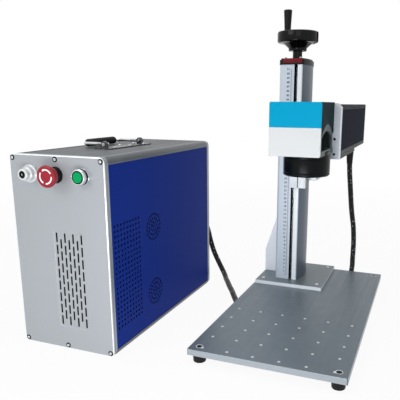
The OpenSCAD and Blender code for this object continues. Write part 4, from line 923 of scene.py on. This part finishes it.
SUPPLY_H = 45.3
BOARD_RISE = 9.5
BOARD_T = 2.0


def add_cabinet_insides():
    bm = copy_of("power_supply")
    board_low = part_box("power_supply")[0].z + (SUPPLY_H + BOARD_RISE) * MM
    board_high = board_low + BOARD_T * MM
    for face in bm.faces:
        z = spot_of(face).z
        face.material_index = 0 if z < board_low else 1 if z < board_high else 2
    piece = shaped("power_supply_finished", bm, GRILLE_STEEL, BOARD_GREEN, BLACK_PLASTIC, merge=False)
    settle(piece, "frame", "box_steel", "power_supply")


GLAND_SIDES = 6
GLAND_R = 10.6
RELIEF_L = 34.0
RELIEF_WALL = 2.6
RELIEF_LIP = 0.5
RELIEF_RIBS = 14
RIB_DEPTH = 0.35


def gland(name, spot, direction, body, node, reach, nut_r, inside):
    """A hose gland: hexagon nut, domed cap nut, and the thread that goes into the housing."""
    bore = HOSE_D / 2 + 0.05
    bm = ringed([(48, bore, 0.2), (GLAND_SIDES, nut_r * 1.08, 0.2), (GLAND_SIDES, nut_r * 1.08, 4.4),
                 (48, nut_r * 0.9, 5.0), (48, nut_r * 0.86, reach - 3), (48, nut_r * 0.72, reach - 0.6),
                 (48, bore + 0.6, reach), (48, bore, reach)], hollow=True)
    ringed([(48, bore, 0.1), (48, GLAND_R, 0.1), (48, GLAND_R, -inside), (48, bore, -inside)], True, bm)
    settle(shaped(name, placed(bm, spot, direction), BLACK_PLASTIC), body, "black_plastic", node)


def relief(name, line, start, length):
    """The tapered rubber sleeve round the hose where it leaves a gland."""
    gone, stretch = 0.0, []
    for a, b in zip(line, line[1:]):
        if start * MM <= gone <= (start + length) * MM:
            stretch.append(a)
        gone += (b - a).length
    wide, thin = HOSE_D / 2 + RELIEF_WALL, HOSE_D / 2 + RELIEF_LIP

    def radius(gone_now):
        share = min(gone_now / (length * MM), 1.0)
        rib = RIB_DEPTH if int(share * RELIEF_RIBS) % 2 else 0.0
        return (wide + (thin - wide) * share - rib) * MM

    return swept(name, stretch, radius, BRAID_SIDES, RUBBER)


def add_glands():
    spot = middle("cabinet_gland")
    spot.y = CABINET.y + CABINET_SIZE.y * MM
    gland("cabinet_gland_finished", spot, BACKWARD, "frame", "cabinet_gland", reach=18, nut_r=12.6, inside=10)
    settle(relief("cabinet_relief", hose_floor_line, 13, RELIEF_L), "frame", "rubber")
    spot = middle("head_gland")
    spot.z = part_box("beam_box_covers")[0].z
    gland("head_gland_finished", spot, -UP, "head", "head_gland", reach=14, nut_r=11.4, inside=5)
    settle(relief("head_relief", hose_drop_line[::-1], 11, RELIEF_L), "head", "rubber")


# Stand

CORNER_SPOT = 18.0
GRID_X = 25
GRID_Y = 15
GRID_PITCH = 50
PAD_SCREW_X = 158
PAD_SCREW_Y = 412
CAP_SCREW_X = 18
CAP_SCREW_Y = 40
SUNK = 0.9
STAND_W, STAND_D = (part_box("base_plate")[1] - STAND).xy / MM


def add_base():
    low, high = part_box("base_plate")

    def outer(edge):
        return all(min(abs(v.co.x - low.x), abs(v.co.x - high.x), abs(v.co.y - low.y), abs(v.co.y - high.y))
                   < 0.1 * MM for v in edge.verts)

    def side(face):
        return abs(face.normal.z) < 0.5 and face.calc_area() > 50 * MM * MM

    # Its outer edges take the bare metal finish, brightened as a painted highlight.
    dressed("base_plate", "blue_grey_anodised", ANODISED, 0.8, chosen=outer, edge_material=PALE_METAL_AND_PAINTED_HIGHLIGHT,
            sort=[(side, PLATE_EDGE)])
    turns = [(16, 1.6 if i % 2 else 1.1, -0.4 - i * 0.6) for i in range(9)]
    thread = ringed([(16, 2.6, -0.6), (16, 2.8, 0.08), (16, 1.2, 0.08), *turns, (16, 2.6, -6.4)], hollow=True)
    spots = [on_stand(GRID_X + GRID_PITCH * column, GRID_Y + GRID_PITCH * row, high.z / MM)
             for column in range(6) for row in range(5)]
    # The threads are near-white: a painted highlight.
    threads = shaped("grid_threads", stamped(pattern_of(thread), spots), PAINTED_HIGHLIGHT_WHITE, merge=False)
    settle(threads, "frame", "screw_steel")


def add_corner_rings():
    """Countersunk rims round the base plate's corner screws, made near-white as a painted highlight."""
    low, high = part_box("base_plate")
    rim = ringed([(32, 5.9, -0.3), (32, 6.9, 0.06), (32, 6.5, 0.12), (32, 5.9, 0.06)], hollow=True)
    spots = [(x, y, high.z) for x in (low.x + CORNER_SPOT * MM, high.x - CORNER_SPOT * MM)
             for y in (low.y + CORNER_SPOT * MM, high.y - CORNER_SPOT * MM)]
    rims = shaped("corner_screw_rims", stamped(pattern_of(rim), spots), PAINTED_HIGHLIGHT_WHITE, merge=False)
    settle(rims, "frame", "screw_steel")


def add_feet():
    low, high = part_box("base_feet")
    height = (high.z - low.z) / MM
    foot = ringed([(48, 5.0, 2.0), (48, 9.0, 1.6), (48, 11.0, 0.0), (48, 11.7, 0.2), (48, 12.2, 1.2),
                   (48, 12.9, height - 3), (48, 13.4, height - 1.4), (48, 13.2, height - 0.3),
                   (48, 12.6, height - 0.02)])
    spots = [on_stand(x, y, 0) for x in (CORNER_SPOT, STAND_W - CORNER_SPOT)
             for y in (CORNER_SPOT, STAND_D - CORNER_SPOT)]
    feet = shaped("rubber_feet", stamped(pattern_of(foot), spots), RUBBER, merge=False)
    settle(feet, "frame", "rubber", "base_feet")


def add_stand_screws():
    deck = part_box("base_plate")[1].z / MM
    pad_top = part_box("column_foot_plate")[1].z / MM
    near, right, back = CORNER_SPOT, STAND_W - CORNER_SPOT, STAND_D - CORNER_SPOT
    feet = [on_stand(x, y, deck - SUNK) for x, y in ((near, near), (right, near), (right, back))]
    flat = ringed([(SCREW_SIDES, 3.0, -2.0), (SCREW_SIDES, 5.6, 0.5), (SCREW_SIDES, 5.7, 0.7),
                   (KEY_SIDES, 1.9, 0.7), (KEY_SIDES, 1.9, -1.2)])
    screws("foot_screws", pattern_of(flat), feet, UP, SCREW_BLACK, "screw_black", "frame", "stand_screws")
    pads = [on_stand(x, y, pad_top) for x in (near, PAD_SCREW_X) for y in (PAD_SCREW_Y, back)]
    # The foot plate's screws are near-white: a painted highlight.
    screws("pad_screws", socket_screw(7.0, 2.0, 2.4), pads, UP, PAINTED_HIGHLIGHT_WHITE, "screw_steel", "frame")
    cap_middle = middle("column_cap")
    cap_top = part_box("column_cap")[1].z
    tops = [Vector((cap_middle.x + sx * CAP_SCREW_X * MM, cap_middle.y + sy * CAP_SCREW_Y * MM, cap_top))
            for sx in (-1, 1) for sy in (-1, 1)]
    screws("cap_screws", socket_screw(5.5, 3.4, 2.6), tops, UP, SATIN_STEEL, "screw_steel", "frame")


TRIM_LIFT = 3.5
PAD_SIDE = 80
SLOT_X = 85.0
SLOT_REACH = 4.3


def add_column():
    def pad_side(face):
        return abs(face.normal.z) < 0.8 and face.calc_area() > PAD_SIDE * MM * MM

    # The foot plate's edges take the bare metal finish with its painted highlight, and its sides take painted light.
    dressed("column_foot_plate", "blue_grey_anodised", PAD_SKIN, 0.8, edge_material=PALE_METAL_AND_PAINTED_HIGHLIGHT,
            sort=[(pad_side, PALE_ALUMINIUM_AND_PAINTED_LIGHT)])
    slot = on_stand(SLOT_X, 0, 0).x
    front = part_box("column")[0].y + 0.3 * MM

    def in_slot(face):
        spot = spot_of(face)
        return abs(spot.x - slot) < SLOT_REACH * MM and spot.y > front

    # Painted shade on the column's right side and in its slot, and a painted reflection on its front right of the slot.
    painted_light_and_shade = [(lambda face: face.normal.x > 0.7, COLUMN_PAINTED_SHADE),
             (lambda face: face.normal.y < -0.9 and spot_of(face).x > slot, PALE_ALUMINIUM_AND_PAINTED_LIGHT),
             (in_slot, SHADOW_BLACK)]
    dressed("column", "blue_grey_anodised", COLUMN_SKIN, sort=painted_light_and_shade)
    low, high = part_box("column_cap_trim")
    trim = block(Vector((low.x, low.y, low.z + TRIM_LIFT * MM)), high)
    round_edges(trim, 0.3)
    settle(shaped("cap_trim", trim, RED_TRIM), "frame", "red_trim", "column_cap_trim")


RULER_ZERO = 47.8
RULER_TICK_END = 75.4
RULER_NUMBER_X = 69.9
RULER_LAST = 51
INK_T = 0.08
TICK_LONG, TICK_MIDDLE, TICK_SHORT = 4.6, 3.4, 2.2
TICK_THICK, TICK_THIN = 0.52, 0.32
NUMBER_SIZE = 6.8
NUMBER_BOLD = 0.14


def add_ruler():
    """Ticks each millimetre along the column's slot, longer at 5 and 10, and plain numbers in centimetres."""
    front = (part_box("column")[0].y - STAND.y) / MM
    bm = bmesh.new()
    for i in range(RULER_LAST * 10 + 1):
        reach = TICK_LONG if i % 10 == 0 else TICK_MIDDLE if i % 5 == 0 else TICK_SHORT
        z = RULER_ZERO + i
        half = (TICK_THIN if i % 5 else TICK_THICK) / 2
        block(on_stand(RULER_TICK_END - reach, front - INK_T, z - half),
              on_stand(RULER_TICK_END, front, z + half), bm)
    settle(shaped("ruler_ticks", bm, DARK_INK, merge=False), "frame", "black_plastic")
    merged = bmesh.new()
    upright = Matrix.Rotation(math.pi / 2, 4, "X")
    for count in range(1, RULER_LAST + 1):
        curve = bpy.data.curves.new("number", "FONT")
        curve.body = str(count)
        curve.size = NUMBER_SIZE * MM
        curve.offset = NUMBER_BOLD * MM
        curve.align_x = "RIGHT"
        curve.align_y = "CENTER"
        curve.extrude = INK_T / 2 * MM
        written = bpy.data.objects.new("number", curve)
        mesh = bpy.data.meshes.new_from_object(written)
        spot = on_stand(RULER_NUMBER_X, front - INK_T / 2, RULER_ZERO + 10 * count)
        stamp(merged, mesh, Matrix.Translation(spot) @ upright)
        bpy.data.objects.remove(written)
        bpy.data.curves.remove(curve)
        bpy.data.meshes.remove(mesh)
    settle(shaped("ruler_numbers", merged, DARK_INK), "frame", "black_plastic")


# Lead screw, hand wheel and crank

def add_lead_screw():
    """The screw with its thread: one turn of a groove's outline, drawn up along the axis."""
    low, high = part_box("lead_screw")
    centre = middle("lead_screw")
    radius = (high.x - low.x) / 2 / MM
    pitch, root = 5.0, radius - 1.4
    length = (high.z - low.z) / MM
    plain_end = 6.0
    turns = int((length - 2 * plain_end) / pitch)
    thread = spun([(root, 0.0), (root, 1.3), (radius, 2.1), (radius, 4.2), (root, pitch)], 24, pitch)
    bm = stamped(pattern_of(thread), [(0, 0, low.z + (plain_end + i * pitch) * MM) for i in range(turns)])
    bmesh.ops.remove_doubles(bm, verts=bm.verts, dist=THREAD_GAP * MM)
    bmesh.ops.holes_fill(bm, edges=[e for e in bm.edges if e.is_boundary], sides=0)
    plain = (plain_end + pitch) * MM
    for start, stop in ((low.z, low.z + plain), (high.z - plain, high.z)):
        ringed([(40, radius - 0.5, start / MM), (40, radius, start / MM + 0.5), (40, radius, stop / MM - 0.5),
                (40, radius - 0.5, stop / MM)], bm=bm)
    bmesh.ops.translate(bm, vec=(centre.x, centre.y, 0), verts=bm.verts)
    screw = shaped("lead_screw_threaded", bm, SCREW_STEEL, merge=False, sharp=30)
    settle(screw, "wheel", "bright_steel", "lead_screw")


RIM_H = 26.0
RIM_W = 13.0
HUB_RISE = 19.7
HUB_R = 22.0
STEM_R = 11.5
WHEEL_BORE = 6.05
BOSS_RISE = 5.0
SPINDLE_R = 3.05
SPOKES = 3
SPOKE_START = 9
SPOKE_W = 16


def wheel_outline(radius, stem_low, rim_top):
    """Half section of the dished wheel: bored stem, hub flange, cone, and a broad rim with round edges."""
    rim_low, hub_low, inner = rim_top - RIM_H, stem_low + HUB_RISE, radius - RIM_W
    return [(WHEEL_BORE, rim_low), (WHEEL_BORE, stem_low), (STEM_R - 0.6, stem_low), (STEM_R, stem_low + 0.6),
            (STEM_R, hub_low), (HUB_R - 1.0, hub_low), (HUB_R, hub_low + 1.0), (HUB_R, hub_low + 6.0),
            (HUB_R + 1.0, hub_low + 7.5), (inner - 2.0, rim_low - 1.2), (inner + 2.5, rim_low),
            (radius - 4, rim_low), (radius - 1.8, rim_low + 0.6), (radius - 0.6, rim_low + 1.9),
            (radius, rim_low + 4), (radius, rim_top - 4), (radius - 0.6, rim_top - 1.9),
            (radius - 1.8, rim_top - 0.6), (radius - 4, rim_top), (radius - 8.5, rim_top), (radius - 11, rim_top - 0.8),
            (radius - 12.5, rim_top - 2.6), (inner, rim_top - 5), (inner, rim_low + 4.6),
            (radius - 15.5, rim_low + 1.8), (18, rim_low - 4.5), (13.5, rim_low - 2), (STEM_R, rim_low + 1.5),
            (STEM_R, rim_top - 1), (10.6, rim_top),
            (WHEEL_BORE, rim_top), (WHEEL_BORE, rim_low)]


def add_wheel():
    low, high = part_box("handwheel")
    screw_middle = middle("lead_screw")
    reach = middle("crank_grip") - screw_middle
    radius, boss_top = (high.x - low.x) / 2 / MM, high.z / MM
    rim_top = boss_top - BOSS_RISE
    rim_low = rim_top - RIM_H
    bm = turned(wheel_outline(radius, low.z / MM, rim_top), 128)
    turn = math.atan2(reach.y, reach.x)
    for i in range(SPOKES):
        spoke = block(Vector((SPOKE_START, -SPOKE_W / 2, rim_low - 1)) * MM,
                      Vector((radius - 11, SPOKE_W / 2, rim_low + 8)) * MM)
        round_edges(spoke, 1.6, 3)
        stamp(bm, pattern_of(spoke), Matrix.Rotation(turn + i * FULL_TURN / SPOKES, 4, "Z"))
    boss = ringed([(40, SPINDLE_R, rim_low + 10), (40, 7.0, rim_low + 10), (40, 7.0, boss_top - 0.8),
                   (40, 6.2, boss_top), (40, SPINDLE_R, boss_top)], hollow=True)
    stamp(bm, pattern_of(boss), Matrix.Rotation(turn, 4, "Z") @ Matrix.Translation((reach.xy.length, 0, 0)))
    bmesh.ops.translate(bm, vec=(screw_middle.x, screw_middle.y, 0), verts=bm.verts)
    settle(shaped("wheel_gloss", bm, GLOSS_BLACK, merge=False, sharp=44), "wheel", "gloss_black", "handwheel")


def add_crank():
    low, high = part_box("crank_grip")
    centre, length = middle("crank_grip"), (high.z - low.z) / MM
    bm = turned([(SPINDLE_R, 0), (6.6, 0), (7.6, 0.5), (8.0, 1.6), (8.05, 4), (8.5, 16), (9.3, 32),
                 (10.0, 44), (10.2, 47), (9.9, 48.8), (9.0, 49.8), (7.6, length), (5.0, length),
                 (4.8, length - 2.3), (SPINDLE_R, length - 2.3), (SPINDLE_R, 0)], 64)
    placed(bm, Vector((*centre.xy, low.z)))
    settle(shaped("crank_handle", bm, BLACK_PLASTIC, sharp=50), "crank", "black_plastic", "crank_grip")


# Beam box and lens

def add_beam_box():
    low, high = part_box("beam_box_rails")
    plate_low, plate_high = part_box("beam_box_front_plate")
    cover_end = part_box("beam_box_covers")[1].y
    rail, inset = 20 * MM, 8 * MM

    def cover_rim(face):
        return abs(face.normal.y) < 0.5 and spot_of(face).y > cover_end - 5 * MM

    def side_edge(edge):
        return all(v.co.y < plate_low.y + 0.1 * MM and v.co.x > plate_high.x - 0.1 * MM for v in edge.verts)

    # The front plate's right edge is rounded in the bare metal finish with its painted highlight.
    dressed("beam_box_front_plate", "silver_plate", BOX_FRONT, 2.2, 3, side_edge, PALE_METAL_AND_PAINTED_HIGHLIGHT)
    dressed("beam_box_rails", "raw_aluminium", BOX_RAIL, 0.25,
            sort=[(lambda face: spot_of(face).z > high.z - rail, DARK_RAIL),
                  (lambda face: face.normal.x > 0.3 and spot_of(face).z < low.z + rail, SHADED_RAIL)])
    plain("beam_box_panels", "blue_paint", NAVY)
    # The covers' rear rim takes the bare metal finish with its painted highlight.
    dressed("beam_box_covers", "grey_paint", BOX_STEEL, 0.25, sort=[(cover_rim, PALE_METAL_AND_PAINTED_HIGHLIGHT)])
    dressed("beam_box_mount_plate", "silver_plate", MACHINED, 0.5,
            sort=[(lambda face: abs(face.normal.x) > 0.5, SHADED_RAIL)])
    front = [Vector((plate_high.x - 12 * MM, plate_low.y, plate_low.z + z * MM)) for z in (10, 40)]
    pattern = socket_screw(5, 1.6, 2.6)
    screws("box_screws_front", pattern, front, FORWARD, SCREW_BLACK, "screw_black", "head", "head_screws")
    rear = [Vector((x, cover_end, z)) for x in (low.x + inset, high.x - inset)
            for z in (low.z + inset, high.z - inset)]
    screws("box_screws_rear", pattern, rear, BACKWARD, SCREW_BLACK, "screw_black", "head")


def add_lens():
    low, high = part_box("lens_barrel")
    bore, radius, height = 37.0, (high.x - low.x) / 2 / MM, (high.z - low.z) / MM
    profile = [(bore, 0.6), (radius - 6.5, 0.6), (radius - 6.1, 0), (radius - 2.4, 0), (radius, 2.4),
               (radius, 6.4), (radius - 0.5, 6.8), (radius - 0.5, 7.6), (radius, 8.0), (radius, 33.0),
               (radius - 0.6, 33.4), (radius - 0.6, 34.6), (radius, 35.0), (radius, 39.4), (radius - 0.6, 40),
               (42, 40), (42, height), (bore, height), (bore, 0.6)]
    bm = placed(turned(profile, 128, 0.12), Vector((*middle("lens_barrel").xy, low.z)))
    settle(shaped("lens_housing", bm, BLACK_ANODISED, sharp=30), "head", "black_anodised", "lens_barrel")


# What keeps its CAD shape, with its slot, its finish and how far its edges are rounded

for node, slot, material, rounding in (
        ("cabinet_frame_rings", "raw_aluminium", RAW_ALUMINIUM, 0),
        ("handle_plate", "grey_paint", STEEL_PLATE, 0.5),
        ("handle_bail", "bright_steel", CHROME, 0),
        ("estop_plunger", "screw_steel", SCREW_STEEL, 0),
        ("laser_source", "black_anodised", BLACK_ANODISED, 0.6),
        ("rear_fan_frame", "black_plastic", BLACK_PLASTIC, 0.4),
        ("rear_fan_rotor", "black_plastic", BLACK_PLASTIC, 0.3),
        ("mains_inlet", "black_plastic", BLACK_PLASTIC, 0.5),
        ("column_gusset", "raw_aluminium", PALE_ALUMINIUM_AND_PAINTED_LIGHT, 0.5),
        ("column_cap", "black_plastic", BLACK_PLASTIC, 0.7),
        ("crank_spindle", "bright_steel", SCREW_STEEL, 0.4),
        ("lead_nut", "bronze", BRONZE, 0.4),
        ("inner_carriage", "raw_aluminium", MACHINED, 0.5),
        ("head_bracket", "raw_aluminium", MACHINED, 0.6),
        ("beam_expander", "black_anodised", BLACK_ANODISED, 0.6),
        ("scan_frame", "raw_aluminium", GRAPHITE, 0.3),
        ("scan_cover", "slate_cover", SLATE, 0.5),
        ("scan_fascia_upper", "cyan_plate", CYAN, 0.6),
        ("scan_fascia_lower", "white_plate", WHITE, 0.6),
        ("scan_motors", "raw_aluminium", MACHINED, 0.4),
        ("mirror_x", "mirror", MIRROR, 0),
        ("mirror_y", "mirror", MIRROR, 0),
        ("lens_glass", "glass", GLASS, 0.4)):
    dressed(node, slot, material, rounding)
# The slide block's front faces take painted light.
dressed("slide_block", "raw_aluminium", MACHINED, 0.6,
        sort=[(lambda face: face.normal.y < -0.7, PALE_ALUMINIUM_AND_PAINTED_LIGHT)])

for make in (add_faces, add_rails, add_cabinet_screws, add_shell, add_key_lock, add_emergency_stop,
             add_start_button, add_handle, add_cabinet_insides, add_glands, add_base, add_corner_rings,
             add_feet, add_stand_screws, add_column, add_ruler, add_lead_screw, add_wheel, add_crank,
             add_beam_box, add_lens):
    make()


# Floor, light and surroundings

FLOOR_R = 6.0
FLOOR_FADE = (0.9, 2.2)
FLOOR_GLOW = 0.93


def seen_plainly(tree):
    """Where the camera, a reflection or glass looks at it."""
    rays = shader_node(tree, "LightPath").outputs
    seen = number(tree, "MAXIMUM", rays["Is Camera Ray"], rays["Is Glossy Ray"])
    return number(tree, "MAXIMUM", seen, rays["Is Transmission Ray"])


def add_floor():
    """A pale floor, near white to the camera, with the object's shadow, that fades into the backdrop."""
    bm = bmesh.new()
    bmesh.ops.create_circle(bm, cap_ends=True, segments=96, radius=FLOOR_R)
    mesh = bpy.data.meshes.new("floor")
    bm.to_mesh(mesh)
    bm.free()
    floor = bpy.data.objects.new("floor", mesh)
    bpy.context.scene.collection.objects.link(floor)
    material = bpy.data.materials.new("pale_floor")
    material.use_nodes = True
    tree = material.node_tree
    tree.nodes.remove(tree.nodes["Principled BSDF"])
    matt = shader_node(tree, "BsdfDiffuse", Color=(0.8, 0.8, 0.8, 1)).outputs[0]
    glow = shader_node(tree, "Emission").outputs[0]
    place = shader_node(tree, "TexCoord").outputs["Object"]
    reach = shader_node(tree, "VectorMath", place, operation="LENGTH").outputs["Value"]
    far = ranged(tree, reach, *FLOOR_FADE, FLOOR_GLOW, 1.0)
    mix = shader_node(tree, "MixShader", number(tree, "MULTIPLY", far, seen_plainly(tree)), matt, glow)
    feed(tree, tree.nodes["Material Output"].inputs["Surface"], mix.outputs[0])
    mesh.materials.append(material)


def add_world(level):
    """An even pale room; the camera, reflections and glass see it as plain white."""
    world = bpy.data.worlds.new("room")
    world.use_nodes = True
    tree = world.node_tree
    background = tree.nodes["Background"].inputs
    background["Color"].default_value = (1, 1, 1, 1)
    feed(tree, background["Strength"], ranged(tree, seen_plainly(tree), 0.0, 1.0, level, 1.0))
    bpy.context.scene.world = world


def add_lamp(name, place, target, size, power):
    data = bpy.data.lights.new(name, "AREA")
    data.shape = "RECTANGLE"
    data.size, data.size_y = size
    data.energy = power
    lamp = bpy.data.objects.new(name, data)
    lamp.location = place
    lamp.visible_camera = False
    lamp.rotation_euler = (Vector(target) - Vector(place)).to_track_quat("-Z", "Y").to_euler()
    bpy.context.scene.collection.objects.link(lamp)


ROOM_LEVEL = 0.4
CENTRE = (0.0, 0.0, 0.3)
add_floor()
add_world(ROOM_LEVEL)
add_lamp("key_softbox", (-1.3, -2.4, 1.9), CENTRE, (1.6, 1.6), 26)
add_lamp("front_softbox", (0.9, -2.8, 1.5), CENTRE, (1.4, 1.4), 7)
add_lamp("low_softbox", (0.16, -0.95, 0.1), (-0.12, -0.1, 0.1), (0.5, 0.18), 3.6)
add_lamp("top_softbox", (-0.2, 0.0, 2.6), CENTRE, (2.0, 2.0), 22)

scene = bpy.context.scene
scene.view_settings.view_transform = "Standard"
